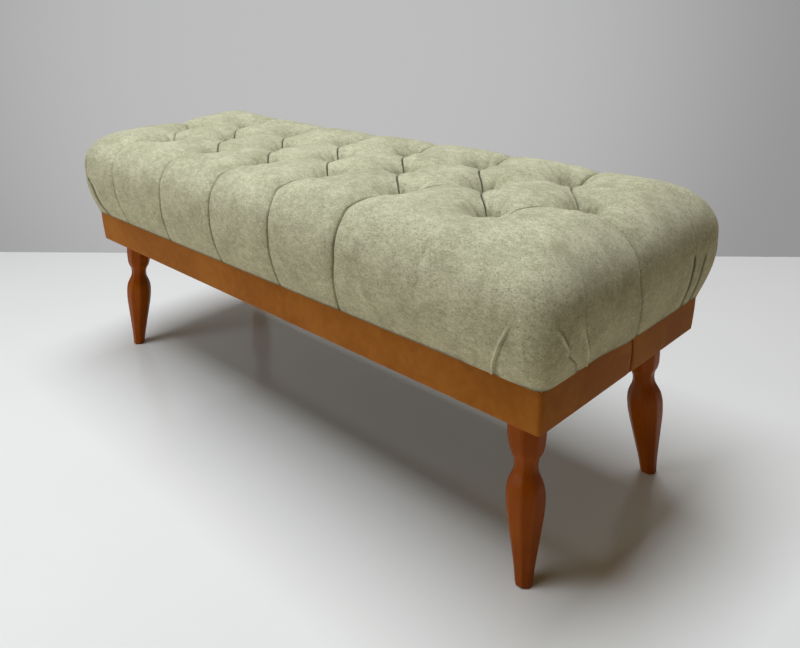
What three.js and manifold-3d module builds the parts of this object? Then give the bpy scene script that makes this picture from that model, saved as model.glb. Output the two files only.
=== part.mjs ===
// Upholstered bench: a deep diamond-tufted seat on a wrapped apron, with four
// splayed eight-sided legs. Millimetres, +Z up, +X along the bench, -Y the front.
// The origin is on the floor, under the middle of the bench.

import * as THREE from "three";
import { mergeVertices } from "three/addons/utils/BufferGeometryUtils.js";
import Module from "manifold-3d";

const wasm = await Module();
wasm.setup();

// Overall sizes
const benchLength = 1100;
const benchDepth = 392;
const apronClearance = 254;
const apronHeight = 61;
const cushionHeight = 170;

// Clearance between pieces that touch, and the overrun of every cut
const fit = 0.3;
const overrun = 4;

// Apron band: a thin brown covering wrapped round the rails, with one seam
const bandThickness = 1.6;
const bandHem = 10;
const bandCornerRadius = 5;
const seamGap = 1.2;

// Rails, board and corner blocks
const railThickness = 20;
const boardThickness = 12;
const crossRailThickness = 20;
const crossRailHeight = 34;
const crossRailPitchShare = 1.25;
const cornerBlockWidth = 80;
const cornerBlockHeight = 30;
const dustCoverThickness = 1;
const dustCoverClearance = 3;

// Legs: eight-sided balusters, each leaning out towards its own corner
const legSides = 8;
const footInset = 26;
const legSplay = THREE.MathUtils.degToRad(8.4);
const legTopWidth = 45.5;
const legNeckWidth = 29.4;
const legBulbWidth = 48.6;
const legFootWidth = 23;
const legRings = 24;

// Leg fastenings
const wedgeThickness = 9;
const boltRadius = 4;
const boltInLeg = 28;
const boltInBlock = 22;
const boltClearance = 0.4;
const insertRadius = 6.5;
const insertLength = 19;
const screwRadius = 1.8;
const screwInBlock = 14;
const screwHeadRadius = 3.6;
const screwHeadHeight = 2;
const screwGap = 2.9;
const screwEdge = 5;
const roundSides = 12;
const screwSides = 8;

// Cushion: outline, crown and side swell
const sideSwell = 25;
const widestHeight = 86;
const widestCornerRadius = 48;
const hemInset = 1.5;
const hemCornerRadius = 8;
const coverWall = 12;
const cornerSteps = 3;
const shoulderPower = 2.4;
const shoulderShares = [0.35, 0.7, 0.92];
const sideShares = [1, 0.5, 0];

// Tufting: three rows, the middle one half a pitch along from the others
const tuftHalfPitches = 6;
const tuftEndMargin = 79;
const tuftSideMargin = 101;
const tuftDepth = 46;
const pleatDepth = 14;
const sidePleatDepth = 4.5;
const tuftReachShare = 0.6;
const quiltSteps = 3;

// Padding between the foam's top and the crown, and the funnels that the cover makes in the foam
const crownPadding = 31;
const funnelTopRadius = 34;
const coverUnderTuft = 6;
const funnelSides = 4;

// Twine ties that hold the tufts down
const twineRadius = 1.2;
const twineHoleRadius = 2;
const foamHoleRadius = 4;
const knotRadius = 5;
const knotHeight = 3;
const stitchRadius = 3.4;
const stitchHeight = 2;
const tieSides = 6;
const holeSides = 4;

// Heights and half sizes worked out from the sizes above
const apronTop = apronClearance + apronHeight;
const railBottom = apronClearance + bandThickness + fit;
const boardBottom = apronTop - boardThickness;
const railTop = boardBottom - fit;
const frameHalfLength = benchLength / 2 - bandThickness - fit;
const frameHalfDepth = benchDepth / 2 - bandThickness - fit;
const blockBottom = railTop - cornerBlockHeight;
const legTopHeight = blockBottom - fit - (wedgeThickness + fit) / Math.cos(legSplay);
const legLength = legTopHeight / Math.cos(legSplay);
const legTopRadius = legTopWidth / 2 / Math.cos(Math.PI / legSides);
const legTopPlace = -legTopHeight * Math.tan(legSplay) / Math.SQRT2;
const screwOffset = (legTopRadius + screwGap + screwHeadRadius) / Math.SQRT2;
const cushionBottom = apronTop + fit;
const crownTop = apronTop + cushionHeight;
const widestLevel = apronTop + widestHeight;
const tuftFloor = crownTop - tuftDepth;
const foamTop = crownTop - crownPadding;
const foamHalfLength = benchLength / 2 - hemInset - coverWall;
const foamHalfDepth = benchDepth / 2 - hemInset - coverWall;
const tuftPitch = (benchLength - 2 * tuftEndMargin) / tuftHalfPitches;
const tuftRowSpacing = benchDepth / 2 - tuftSideMargin;

// Materials
const fabric = new THREE.MeshStandardMaterial({ color: 0x9c9c7e, roughness: 0.95 });
const bandSkin = new THREE.MeshStandardMaterial({ color: 0x8a5530, roughness: 0.45 });
const stainedWood = new THREE.MeshStandardMaterial({ color: 0x7c4214, roughness: 0.35 });
const bareWood = new THREE.MeshStandardMaterial({ color: 0xc9a878, roughness: 0.8 });
const plywood = new THREE.MeshStandardMaterial({ color: 0xd2b48c, roughness: 0.8 });
const steel = new THREE.MeshStandardMaterial({ color: 0x9a9da0, roughness: 0.35, metalness: 1 });
const foam = new THREE.MeshStandardMaterial({ color: 0xe8dfc0, roughness: 1 });
const twine = new THREE.MeshStandardMaterial({ color: 0x8c8a70, roughness: 0.9 });
const dustCloth = new THREE.MeshStandardMaterial({ color: 0x1c1c1c, roughness: 1 });

const bench = new THREE.Group();

// Solids: a closed geometry as a manifold, and a manifold as a geometry
function solid(geometry) {
  const bare = geometry.clone();
  bare.deleteAttribute("normal");
  bare.deleteAttribute("uv");
  const merged = mergeVertices(bare);
  return new wasm.Manifold(new wasm.Mesh({
    numProp: 3,
    vertProperties: new Float32Array(merged.attributes.position.array),
    triVerts: new Uint32Array(merged.index.array),
  }));
}

function geometryOf(manifold) {
  const result = manifold.getMesh();
  const geometry = new THREE.BufferGeometry();
  geometry.setAttribute("position", new THREE.BufferAttribute(result.vertProperties, 3));
  geometry.setIndex(new THREE.BufferAttribute(result.triVerts, 1));
  const faceted = geometry.toNonIndexed();
  faceted.computeVertexNormals();
  return faceted;
}

function addMesh(parent, name, geometry, material) {
  const mesh = new THREE.Mesh(geometry, material);
  mesh.name = name;
  parent.add(mesh);
  return mesh;
}

// A box between two corners
function boxBetween(low, high) {
  const size = new THREE.Vector3().subVectors(high, low);
  const middle = new THREE.Vector3().addVectors(low, high).multiplyScalar(0.5);
  return new THREE.BoxGeometry(size.x, size.y, size.z).translate(middle.x, middle.y, middle.z);
}

function box(x0, x1, y0, y1, z0, z1) {
  return boxBetween(new THREE.Vector3(x0, y0, z0), new THREE.Vector3(x1, y1, z1));
}

// An upright rod or cone from z0 to z1
function rod(radius, z0, z1, sides, topRadius = radius) {
  return new THREE.CylinderGeometry(topRadius, radius, z1 - z0, sides)
    .rotateX(Math.PI / 2)
    .translate(0, 0, (z0 + z1) / 2);
}

// A turned solid about Z from points of radius and height, from the bottom up
function turned(points, sides, start = 0) {
  const profile = points.map(([radius, height]) => new THREE.Vector2(radius, height));
  return new THREE.LatheGeometry(profile, sides, start).rotateX(Math.PI / 2);
}

// A flat slab with round corners, from z0 to z1
function roundedSlab(halfLength, halfDepth, radius, z0, z1) {
  const outline = new THREE.Shape();
  outline.moveTo(-halfLength + radius, -halfDepth);
  outline.lineTo(halfLength - radius, -halfDepth);
  outline.absarc(halfLength - radius, -halfDepth + radius, radius, -Math.PI / 2, 0);
  outline.lineTo(halfLength, halfDepth - radius);
  outline.absarc(halfLength - radius, halfDepth - radius, radius, 0, Math.PI / 2);
  outline.lineTo(-halfLength + radius, halfDepth);
  outline.absarc(-halfLength + radius, halfDepth - radius, radius, Math.PI / 2, Math.PI);
  outline.lineTo(-halfLength, -halfDepth + radius);
  outline.absarc(-halfLength + radius, -halfDepth + radius, radius, Math.PI, 1.5 * Math.PI);
  const slab = new THREE.ExtrudeGeometry(outline, {
    depth: z1 - z0,
    bevelEnabled: false,
    curveSegments: 4,
  });
  return slab.translate(0, 0, z0);
}

// Where the tufts are: rows -1, 0 and 1, in half pitches along the bench
function tuftPlaces() {
  const places = [];
  for (const row of [-1, 0, 1]) {
    for (let step = -tuftHalfPitches; step <= tuftHalfPitches; step += 1) {
      if ((step + row) % 2 === 0) {
        places.push({ row, x: step * tuftPitch / 2, y: row * tuftRowSpacing });
      }
    }
  }
  return places;
}

const tufts = tuftPlaces();

// Rails: the long ones run the whole length, the short ones and the cross rails fit between
function addRails() {
  const innerHalfDepth = frameHalfDepth - railThickness;
  const innerHalfLength = frameHalfLength - railThickness;
  for (const [name, side] of [["front_rail", -1], ["back_rail", 1]]) {
    const rail = box(-frameHalfLength, frameHalfLength, 0, railThickness, railBottom, railTop);
    const mesh = addMesh(bench, name, rail, bareWood);
    mesh.position.y = side < 0 ? -frameHalfDepth : innerHalfDepth;
  }
  const shortHalf = innerHalfDepth - fit;
  for (const [name, side] of [["left_rail", -1], ["right_rail", 1]]) {
    const rail = box(0, railThickness, -shortHalf, shortHalf, railBottom, railTop);
    const mesh = addMesh(bench, name, rail, bareWood);
    mesh.position.x = side < 0 ? -frameHalfLength : innerHalfLength;
  }
  // Each cross rail lies halfway between a middle tuft and its outer neighbour
  const crossPlace = crossRailPitchShare * tuftPitch;
  const half = crossRailThickness / 2;
  for (const [name, side] of [["cross_rail_left", -1], ["cross_rail_right", 1]]) {
    const rail = box(-half, half, -shortHalf, shortHalf, railTop - crossRailHeight, railTop);
    addMesh(bench, name, rail, bareWood).position.x = side * crossPlace;
  }
}

// Apron band: outside skin and a hem turned under the rails, open at the seam
function addApronBand() {
  const halfLength = benchLength / 2;
  const halfDepth = benchDepth / 2;
  const outer = roundedSlab(halfLength, halfDepth, bandCornerRadius, apronClearance, apronTop);
  const around = box(
    -halfLength + bandThickness, halfLength - bandThickness,
    -halfDepth + bandThickness, halfDepth - bandThickness,
    apronClearance + bandThickness, apronTop + overrun,
  );
  const under = box(
    -halfLength + bandHem, halfLength - bandHem,
    -halfDepth + bandHem, halfDepth - bandHem,
    apronClearance - overrun, apronClearance + bandThickness + overrun,
  );
  const seam = box(
    halfLength - bandHem - overrun, halfLength + overrun,
    -seamGap / 2, seamGap / 2,
    apronClearance - overrun, apronTop + overrun,
  );
  const band = solid(outer).subtract(solid(around)).subtract(solid(under)).subtract(solid(seam));
  addMesh(bench, "apron_band", geometryOf(band), bandSkin);
}

// Plywood seat board, with a hole for each tie
function addSeatBoard() {
  let board = solid(box(
    -frameHalfLength, frameHalfLength, -frameHalfDepth, frameHalfDepth, boardBottom, apronTop,
  ));
  for (const tuft of tufts) {
    const hole = rod(twineHoleRadius, boardBottom - overrun, apronTop + overrun, holeSides);
    board = board.subtract(solid(hole.translate(tuft.x, tuft.y, 0)));
  }
  addMesh(bench, "seat_board", geometryOf(board), plywood);
}

// Black cloth stapled under the rails, cut off at the corners to clear the legs
function addDustCover() {
  const halfLength = benchLength / 2 - bandHem - fit;
  const halfDepth = benchDepth / 2 - bandHem - fit;
  const legPlace = footInset - legTopPlace - bandHem - fit;
  const cut = 2 * legPlace + Math.SQRT2 * (legTopRadius + dustCoverClearance);
  const outline = new THREE.Shape();
  outline.moveTo(-halfLength + cut, -halfDepth);
  outline.lineTo(halfLength - cut, -halfDepth);
  outline.lineTo(halfLength, -halfDepth + cut);
  outline.lineTo(halfLength, halfDepth - cut);
  outline.lineTo(halfLength - cut, halfDepth);
  outline.lineTo(-halfLength + cut, halfDepth);
  outline.lineTo(-halfLength, halfDepth - cut);
  outline.lineTo(-halfLength, -halfDepth + cut);
  const cloth = new THREE.ExtrudeGeometry(outline, {
    depth: dustCoverThickness,
    bevelEnabled: false,
  });
  const mesh = addMesh(bench, "dust_cover", cloth, dustCloth);
  mesh.position.z = railBottom - fit - dustCoverThickness;
}

// The leg's outline, as shares of its length and of the way between two of its widths:
// from the foot to the bulb, from the bulb in to the neck, and from the neck to the head
const taperShares = [
  [0.02, 0], [0.09, 0.12], [0.16, 0.285], [0.247, 0.51], [0.339, 0.75], [0.41, 0.92], [0.48, 1],
];
const neckShares = [[0.533, 0.943], [0.572, 0.73], [0.597, 0.474], [0.62, 0.19], [0.645, 0.02]];
const headShares = [[0.681, 0.02], [0.704, 0.19], [0.723, 0.52], [0.75, 0.8], [0.795, 1], [1, 1]];

function between(low, high, share) {
  return low + share * (high - low);
}

function legProfile() {
  const spot = (lengthShare, width) => new THREE.Vector2(width / 2, lengthShare * legLength);
  const curve = new THREE.SplineCurve([
    ...taperShares.map(([at, share]) => spot(at, between(legFootWidth, legBulbWidth, share))),
    ...neckShares.map(([at, share]) => spot(at, between(legNeckWidth, legBulbWidth, share))),
    ...headShares.map(([at, share]) => spot(at, between(legNeckWidth, legTopWidth, share))),
  ]);
  const outline = curve.getPoints(legRings).map((point) => [point.x, point.y]);
  const below = -legFootWidth;
  return [[0, below], [legFootWidth / 2, below], ...outline, [0, legLength]];
}

// Each corner's pieces are made for the back right corner about the foot's middle,
// and a piece in line with the leg leans about it, towards the middle of the bench
function leaning(geometry) {
  const axis = new THREE.Vector3(1, -1, 0).normalize();
  return geometry.applyMatrix4(new THREE.Matrix4().makeRotationAxis(axis, legSplay));
}

// A leaning round rod or hole between two distances from the floor, beside the leg's line
function leaningRod(radius, low, high, sides, x = 0, y = 0) {
  return solid(leaning(rod(radius, low, high, sides).translate(x, y, 0)));
}

const boltBottom = legLength - boltInLeg;
const wedgeUnder = legLength + fit;
const wedgeTop = wedgeUnder + wedgeThickness;
const boltTop = wedgeTop + boltInBlock;
const screwTop = wedgeTop + screwInBlock;
const boreRadius = boltRadius + boltClearance;
const pilotRadius = screwRadius + boltClearance;
const screwSpots = [[-screwOffset, screwOffset], [screwOffset, -screwOffset]];
const railFace = footInset - bandThickness - railThickness - 2 * fit;

function legSolid() {
  const body = solid(leaning(turned(legProfile(), legSides, Math.PI / legSides)));
  const bore = leaningRod(boreRadius, boltBottom - fit, legLength + overrun, roundSides);
  const reach = 2 * legFootWidth;
  const floor = box(-reach, reach, -reach, reach, -reach, 0);
  return body.subtract(bore).subtract(solid(floor));
}

// A wedge between the level block and the leaning leg, bored for the bolt and two screws.
// It reaches from the rails to just past the screws.
function wedgeSolid() {
  const far = legTopPlace - screwOffset - screwEdge;
  const width = railFace - far;
  const top = blockBottom - fit;
  const deep = wedgeThickness + width * Math.tan(legSplay) + overrun;
  const blank = box(far, railFace, far, railFace, top - deep, top);
  const below = box(-width, width, -width, width, wedgeUnder - 2 * deep, wedgeUnder);
  const reach = [wedgeUnder - overrun, wedgeTop + deep];
  let wedge = solid(blank).subtract(solid(leaning(below)));
  wedge = wedge.subtract(leaningRod(boreRadius, ...reach, roundSides));
  for (const [x, y] of screwSpots) {
    wedge = wedge.subtract(leaningRod(pilotRadius, ...reach, screwSides, x, y));
  }
  return wedge;
}

// A block in the corner of the rails, bored for the threaded insert and the screws
function blockSolid() {
  const far = railFace - cornerBlockWidth;
  const low = blockBottom - cornerBlockHeight;
  let block = solid(box(far, railFace, far, railFace, blockBottom, railTop));
  block = block.subtract(leaningRod(insertRadius + fit, low, boltTop + fit, roundSides));
  for (const [x, y] of screwSpots) {
    block = block.subtract(leaningRod(pilotRadius, low, screwTop + fit, screwSides, x, y));
  }
  return block;
}

function insertSolid() {
  const low = wedgeTop + 2 * fit + insertRadius * Math.tan(legSplay);
  const high = low + insertLength;
  const bore = leaningRod(boreRadius, low - overrun, high + overrun, roundSides);
  return leaningRod(insertRadius, low, high, roundSides).subtract(bore);
}

function screwSolid([x, y]) {
  const headTop = wedgeUnder - fit;
  const headBottom = headTop - screwHeadHeight;
  const shape = turned([
    [0, headBottom],
    [screwHeadRadius, headBottom],
    [screwHeadRadius, headTop],
    [screwRadius, headTop],
    [screwRadius, screwTop],
    [0, screwTop],
  ], screwSides);
  return solid(leaning(shape.translate(x, y, 0)));
}

// The four corners: the same pieces, turned a quarter at a time
function addCorners() {
  const corners = [
    ["back_right", 1, 1, 0],
    ["back_left", -1, 1, 1],
    ["front_left", -1, -1, 2],
    ["front_right", 1, -1, 3],
  ];
  const pieces = [
    ["leg", geometryOf(legSolid()), stainedWood],
    ["leg_wedge", geometryOf(wedgeSolid()), bareWood],
    ["corner_block", geometryOf(blockSolid()), bareWood],
    ["leg_insert", geometryOf(insertSolid()), steel],
    ["leg_bolt", geometryOf(leaningRod(boltRadius, boltBottom, boltTop, roundSides)), steel],
    ["wedge_screw_1", geometryOf(screwSolid(screwSpots[0])), steel],
    ["wedge_screw_2", geometryOf(screwSolid(screwSpots[1])), steel],
  ];
  for (const [corner, sideX, sideY, quarters] of corners) {
    const group = new THREE.Group();
    group.position.set(
      sideX * (benchLength / 2 - footInset),
      sideY * (benchDepth / 2 - footInset),
      0,
    );
    group.rotation.z = quarters * Math.PI / 2;
    for (const [name, geometry, material] of pieces) {
      addMesh(group, `${name}_${corner}`, geometry, material);
    }
    bench.add(group);
  }
}

// Height of the quilted top, at u half pitches along the bench and v rows across it:
// lowest at the tufts, a pleat between neighbouring tufts, and full between the pleats
function quiltHeight(u, v) {
  const one = Math.abs(Math.sin(Math.PI * (u + v) / 2));
  const other = Math.abs(Math.sin(Math.PI * (u - v) / 2));
  const pleatRise = tuftDepth - pleatDepth;
  return tuftFloor + pleatRise * (one + other - one * other) + pleatDepth * one * other;
}

function quiltPoint(u, v) {
  return new THREE.Vector3(u * tuftPitch / 2, v * tuftRowSpacing, quiltHeight(u, v));
}

// The quilted field between the outermost tufts, with its cells split along the pleats
function quiltTriangles() {
  const triangles = [];
  const step = 1 / quiltSteps;
  for (let i = -tuftHalfPitches * quiltSteps; i < tuftHalfPitches * quiltSteps; i += 1) {
    for (let j = -quiltSteps; j < quiltSteps; j += 1) {
      const [u, v] = [i * step, j * step];
      const a = quiltPoint(u, v);
      const b = quiltPoint(u + step, v);
      const c = quiltPoint(u + step, v + step);
      const d = quiltPoint(u, v + step);
      const rising = (Math.floor(i / quiltSteps) + Math.floor(j / quiltSteps)) % 2 === 0;
      triangles.push(...(rising ? [a, b, c, a, c, d] : [a, b, d, b, c, d]));
    }
  }
  return triangles;
}

// The field's edge as a loop of spots, with extra spots that turn each corner
function rimSpots() {
  const spots = [];
  const long = tuftHalfPitches * quiltSteps;
  const side = (count, spotAt) => {
    for (let i = -count; i <= count; i += 1) {
      spots.push({ ...spotAt(i / quiltSteps), turn: null });
    }
  };
  const corner = (u, v, start) => {
    for (let i = 1; i < cornerSteps; i += 1) {
      spots.push({ u, v, turn: start + i / cornerSteps * Math.PI / 2 });
    }
  };
  side(long, (u) => ({ u, v: -1, alongX: true }));
  corner(tuftHalfPitches, -1, -Math.PI / 2);
  side(quiltSteps, (v) => ({ u: tuftHalfPitches, v, alongX: false }));
  corner(tuftHalfPitches, 1, 0);
  side(long, (u) => ({ u: -u, v: 1, alongX: true }));
  corner(-tuftHalfPitches, 1, Math.PI / 2);
  side(quiltSteps, (v) => ({ u: -tuftHalfPitches, v: -v, alongX: false }));
  corner(-tuftHalfPitches, -1, Math.PI);
  return spots;
}

// Where a spot lies on an outline of round corners, so that the pleats run straight out
function outlinePoint(spot, halfLength, halfDepth, radius) {
  const [sideX, sideY] = [Math.sign(spot.u), Math.sign(spot.v)];
  if (spot.turn !== null) {
    return new THREE.Vector2(
      sideX * (halfLength - radius) + radius * Math.cos(spot.turn),
      sideY * (halfDepth - radius) + radius * Math.sin(spot.turn),
    );
  }
  if (!spot.alongX) {
    return new THREE.Vector2(sideX * halfLength, spot.v * (halfDepth - radius));
  }
  const straight = tuftHalfPitches - 1;
  const past = Math.max(0, Math.abs(spot.u) - straight);
  const inner = Math.min(Math.abs(spot.u), straight) * tuftPitch / 2;
  return new THREE.Vector2(
    sideX * between(inner, halfLength - radius, past),
    sideY * halfDepth,
  );
}

// How much of a side pleat a spot has: all of it in line with a tuft, none halfway
function pleatShare(spot) {
  if (spot.turn !== null) {
    return 0;
  }
  const phase = spot.alongX ? spot.u : spot.v + 1;
  return 1 - Math.abs(Math.cos(Math.PI * phase / 2));
}

// The cushion's side at a share of its height up to the widest level
function sideRing(spots, share) {
  const swell = sideSwell * Math.sin(share * Math.PI / 2);
  const inset = hemInset * (1 - share);
  const radius = between(hemCornerRadius, widestCornerRadius, share);
  const level = between(cushionBottom, widestLevel, share);
  return spots.map((spot) => {
    const pleat = sidePleatDepth * pleatShare(spot) * share;
    const point = outlinePoint(
      spot,
      benchLength / 2 + swell - inset - pleat,
      benchDepth / 2 + swell - inset - pleat,
      radius,
    );
    return new THREE.Vector3(point.x, point.y, level);
  });
}

// The shoulder: from the field's edge out and over to the widest level
function shoulderRing(spots, share) {
  const widest = sideRing(spots, 1);
  const rise = (1 - share ** shoulderPower) ** (1 / shoulderPower);
  const level = between(widestLevel, crownTop, rise);
  const sinkShare = Math.max(0, 1 - share / tuftReachShare) ** 2;
  return spots.map((spot, i) => {
    const edge = quiltPoint(spot.u, spot.v);
    const sink = sinkShare * (crownTop - edge.z);
    const pleat = sidePleatDepth * pleatShare(spot) * rise;
    return new THREE.Vector3(
      between(edge.x, widest[i].x, share),
      between(edge.y, widest[i].y, share),
      level - sink - pleat,
    );
  });
}

// The cushion's outside as one closed solid, each cell split from its lower inner corner
function cushionSolid() {
  const spots = rimSpots();
  const rings = [
    spots.map((spot) => quiltPoint(spot.u, spot.v)),
    ...shoulderShares.map((share) => shoulderRing(spots, share)),
    ...sideShares.map((share) => sideRing(spots, share)),
  ];
  const triangles = quiltTriangles();
  const addTriangle = (...corners) => {
    const [a, b, c] = corners;
    if (!a.equals(b) && !b.equals(c) && !c.equals(a)) {
      triangles.push(...corners);
    }
  };
  const count = spots.length;
  for (let ring = 1; ring < rings.length; ring += 1) {
    const [inner, outer] = [rings[ring - 1], rings[ring]];
    for (let i = 0; i < count; i += 1) {
      const next = (i + 1) % count;
      if (inner[i].z < inner[next].z) {
        addTriangle(inner[i], outer[i], outer[next]);
        addTriangle(inner[i], outer[next], inner[next]);
      } else {
        addTriangle(inner[i], outer[i], inner[next]);
        addTriangle(inner[next], outer[i], outer[next]);
      }
    }
  }
  const hem = rings[rings.length - 1];
  const middle = new THREE.Vector3(0, 0, cushionBottom);
  for (let i = 0; i < count; i += 1) {
    addTriangle(hem[i], middle, hem[(i + 1) % count]);
  }
  return solid(new THREE.BufferGeometry().setFromPoints(triangles));
}

// The cone that a tuft draws down into the foam, grown all round by a clearance
function funnels(growth) {
  const tip = tuftFloor - coverUnderTuft - growth;
  const top = foamTop + overrun;
  const topRadius = (funnelTopRadius + growth) * (top - tip) / (foamTop - tip);
  return tufts.map((tuft) => {
    const cone = rod(0, tip, top, funnelSides, topRadius);
    return solid(cone.translate(tuft.x, tuft.y, 0));
  });
}

function tuftHoles(radius, low, high) {
  return tufts.map((tuft) => solid(rod(radius, low, high, holeSides).translate(tuft.x, tuft.y, 0)));
}

function without(body, cuts) {
  return cuts.reduce((left, cut) => left.subtract(cut), body);
}

// Fabric with the wadding quilted to it, hollow underneath for the foam
function addSeatCover() {
  const hollow = without(solid(box(
    -foamHalfLength - fit, foamHalfLength + fit,
    -foamHalfDepth - fit, foamHalfDepth + fit,
    cushionBottom - overrun, foamTop + fit,
  )), funnels(0));
  const holes = tuftHoles(twineHoleRadius, cushionBottom, crownTop);
  const cover = without(cushionSolid().subtract(hollow), holes);
  addMesh(bench, "seat_cover", geometryOf(cover), fabric);
}

function addFoam() {
  const block = solid(box(
    -foamHalfLength, foamHalfLength, -foamHalfDepth, foamHalfDepth, cushionBottom, foamTop,
  ));
  const holes = tuftHoles(foamHoleRadius, cushionBottom - overrun, crownTop);
  addMesh(bench, "foam_pad", geometryOf(without(block, [...funnels(fit), ...holes])), foam);
}

// A twine tie at each tuft: a stitch in the dimple, and a knot under the board
function addTuftTies() {
  const knotTop = boardBottom - fit;
  const firstStep = quiltPoint(1 / quiltSteps, 1 / quiltSteps);
  const steepness = (firstStep.z - tuftFloor) * Math.hypot(1 / firstStep.x, 1 / firstStep.y);
  const stitchBottom = tuftFloor + stitchRadius * steepness + fit;
  const stitchTop = stitchBottom + stitchHeight;
  const shape = turned([
    [0, knotTop - knotHeight],
    [knotRadius, knotTop - knotHeight],
    [knotRadius, knotTop],
    [twineRadius, knotTop],
    [twineRadius, stitchBottom],
    [stitchRadius, stitchBottom],
    [twineRadius, stitchTop],
    [0, stitchTop],
  ], tieSides);
  const rowNames = { "-1": "front", 0: "middle", 1: "back" };
  const counts = { "-1": 0, 0: 0, 1: 0 };
  for (const tuft of tufts) {
    counts[tuft.row] += 1;
    const name = `tuft_tie_${rowNames[tuft.row]}_${counts[tuft.row]}`;
    addMesh(bench, name, shape, twine).position.set(tuft.x, tuft.y, 0);
  }
}

addRails();
addApronBand();
addSeatBoard();
addDustCover();
addCorners();
addFoam();
addSeatCover();
addTuftTies();

export default bench;
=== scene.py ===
"""Upholstered bench: a deep diamond-tufted cushion on a wrapped apron with four splayed legs.

Metres, +Z up, +X along the bench, -Y its front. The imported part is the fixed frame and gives
the sizes. The cushion, apron band, legs and dust cloth are made here in full detail, and the
pieces inside get their finish.
"""

import math
from collections import namedtuple

import bmesh
import bpy
import numpy as np
from mathutils import Matrix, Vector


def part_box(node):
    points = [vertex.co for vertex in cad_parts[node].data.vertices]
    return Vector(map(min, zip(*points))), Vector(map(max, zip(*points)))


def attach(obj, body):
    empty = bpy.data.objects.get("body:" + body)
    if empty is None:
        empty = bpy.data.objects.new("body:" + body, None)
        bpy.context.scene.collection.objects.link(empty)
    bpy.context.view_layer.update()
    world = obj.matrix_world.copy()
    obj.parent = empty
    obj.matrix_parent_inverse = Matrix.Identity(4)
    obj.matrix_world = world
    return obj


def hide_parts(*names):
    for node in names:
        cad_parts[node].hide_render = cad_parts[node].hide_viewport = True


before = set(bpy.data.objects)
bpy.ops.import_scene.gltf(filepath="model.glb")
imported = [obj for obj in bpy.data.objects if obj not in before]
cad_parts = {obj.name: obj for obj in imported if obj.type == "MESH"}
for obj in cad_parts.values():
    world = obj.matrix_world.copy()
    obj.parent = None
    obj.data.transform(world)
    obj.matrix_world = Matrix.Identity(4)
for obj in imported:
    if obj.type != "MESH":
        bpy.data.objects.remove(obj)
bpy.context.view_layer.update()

MM = 0.001
TWO_PI = 2 * np.pi

# Sizes of the apron and the cushion, from the frame, with room for the cloth to swell
side_swell_room = 2 * MM
top_swell_room = 1 * MM
widest_rise = 86 * MM
band_low, band_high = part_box("apron_band")
cover_low, cover_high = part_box("seat_cover")
half_length = band_high.x
half_depth = band_high.y
apron_bottom = band_low.z
apron_top = band_high.z
hem_level = cover_low.z
crown_level = cover_high.z - top_swell_room
widest_level = apron_top + widest_rise
widest_half_length = cover_high.x - side_swell_room
widest_half_depth = cover_high.y - side_swell_room

# Cushion outline
crown_wave_height = 4.5 * MM
widest_radius = 48 * MM
hem_overhang = 2.5 * MM
hem_radius = 15 * MM
side_droop = 1.2 * MM
end_droop = 8 * MM
end_droop_start_share = -0.42
end_droop_rise_share = 0.4
lip_round = 4 * MM
face_gap = 0.8 * MM
lip_tuck = lip_round / 2 - face_gap
# Painted shade: a dark line along the lip, where the cloth tucks against the apron
hem_painted_shade_height = 4.4 * MM
hem_painted_shade_share = 0.9
board_reach = 12 * MM
shoulder_power = 2.45
shoulder_power_drift = 0.25
slope_step = 0.1 * MM
least_slope = 1e-9

# Tufts and pleats
bowl_depth = 16 * MM
bowl_width = 36 * MM
bowl_power = 1.3
pit_depth = 30 * MM
pit_width = 21 * MM
pit_power = 1.7
pit_hold = 15 * MM
pit_hold_power = 4
# Painted shade round each pit, and along the hollows of its gathers
pit_painted_shade = 18 * MM
pit_painted_shade_power = 2.0
pit_painted_shade_share = 1.0
pucker_painted_shade_share = 0.45
gather_depth = 3.2 * MM
gather_start = 14 * MM
gather_reach = 26 * MM
gather_folds = (9, 14)
gather_turns = (37.0, 91.0)
gather_second_turn = 2.3
gather_second_share = 0.7
valley_depth = 6.5 * MM
valley_width = 15 * MM
valley_power = 1.4
valley_reach_share = 3.5
slit_depth = 8 * MM
slit_width = 1.6 * MM
side_slit_width = 2.1 * MM
slit_power = 2.6
lip_reach = 2.2 * MM
lip_start = 1.2 * MM
lip_width = 5 * MM
lip_rise = 0.7 * MM
pleat_bow = -7 * MM
pleat_end_fade = 4 * MM
pleat_end_power = 0.6
row_margin = 1 * MM
side_valley_depth = 6 * MM
side_valley_width = 12 * MM
side_valley_at_shares = (0, 0.12, 0.5, 0.85, 1, 1.5, 2)
side_valley_shares = (0, 1.3, 1.3, 1, 0.6, 0.3, 0.1)
side_slit_at_shares = (0, 0.1, 0.3, 0.55, 0.85, 1.05, 1.4, 1.75, 2)
side_slit_shares = (0, 0.8, 0.9, 0.45, 0.5, 1, 1.35, 1, 0.4)

# Corner creases, with the dip beside each one's ridge in crease widths
crease_height = 2.2 * MM
crease_width = 2.0 * MM
crease_slit_width_share = 1.7
crease_dip_place_share = 1.7
crease_dip_width_share = 1.1
crease_dip_share = 0.6
crease_fade_share = 0.22
crease_end_at_shares = (1.8, 2)
crease_end_shares = (1, 0.6)

# Swelling of the cloth
cloth_pressure = 4.0
cloth_frames = 20
swell_limit = 8 * MM
least_move = 1e-12
pin_levels = 10
pin_crease_share = 1.5
pin_hem_share = 1.75
pin_hem_fade_share = 0.2
cage_cell = 0.2 * MM
weld_distance = 0.02 * MM

# How rows and columns crowd together at pleats, creases and borders
column_pinch_share = 0.85
row_pinch_share = 0.8
skirt_pinch_power = 1.5
crowding_steps = 4000
border_width_share = 0.03
border_gain = 4
crease_crowd_share = 0.014
crease_gain = 13
under_rows = 5
under_share = 3.0


def spread(count, pinch):
    """Shares from 0 to 1 that crowd at both ends: t - pinch * sin(2 pi t) / (2 pi)."""
    t = np.linspace(0, 1, count + 1)
    return t - pinch * np.sin(TWO_PI * t) / TWO_PI


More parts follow.
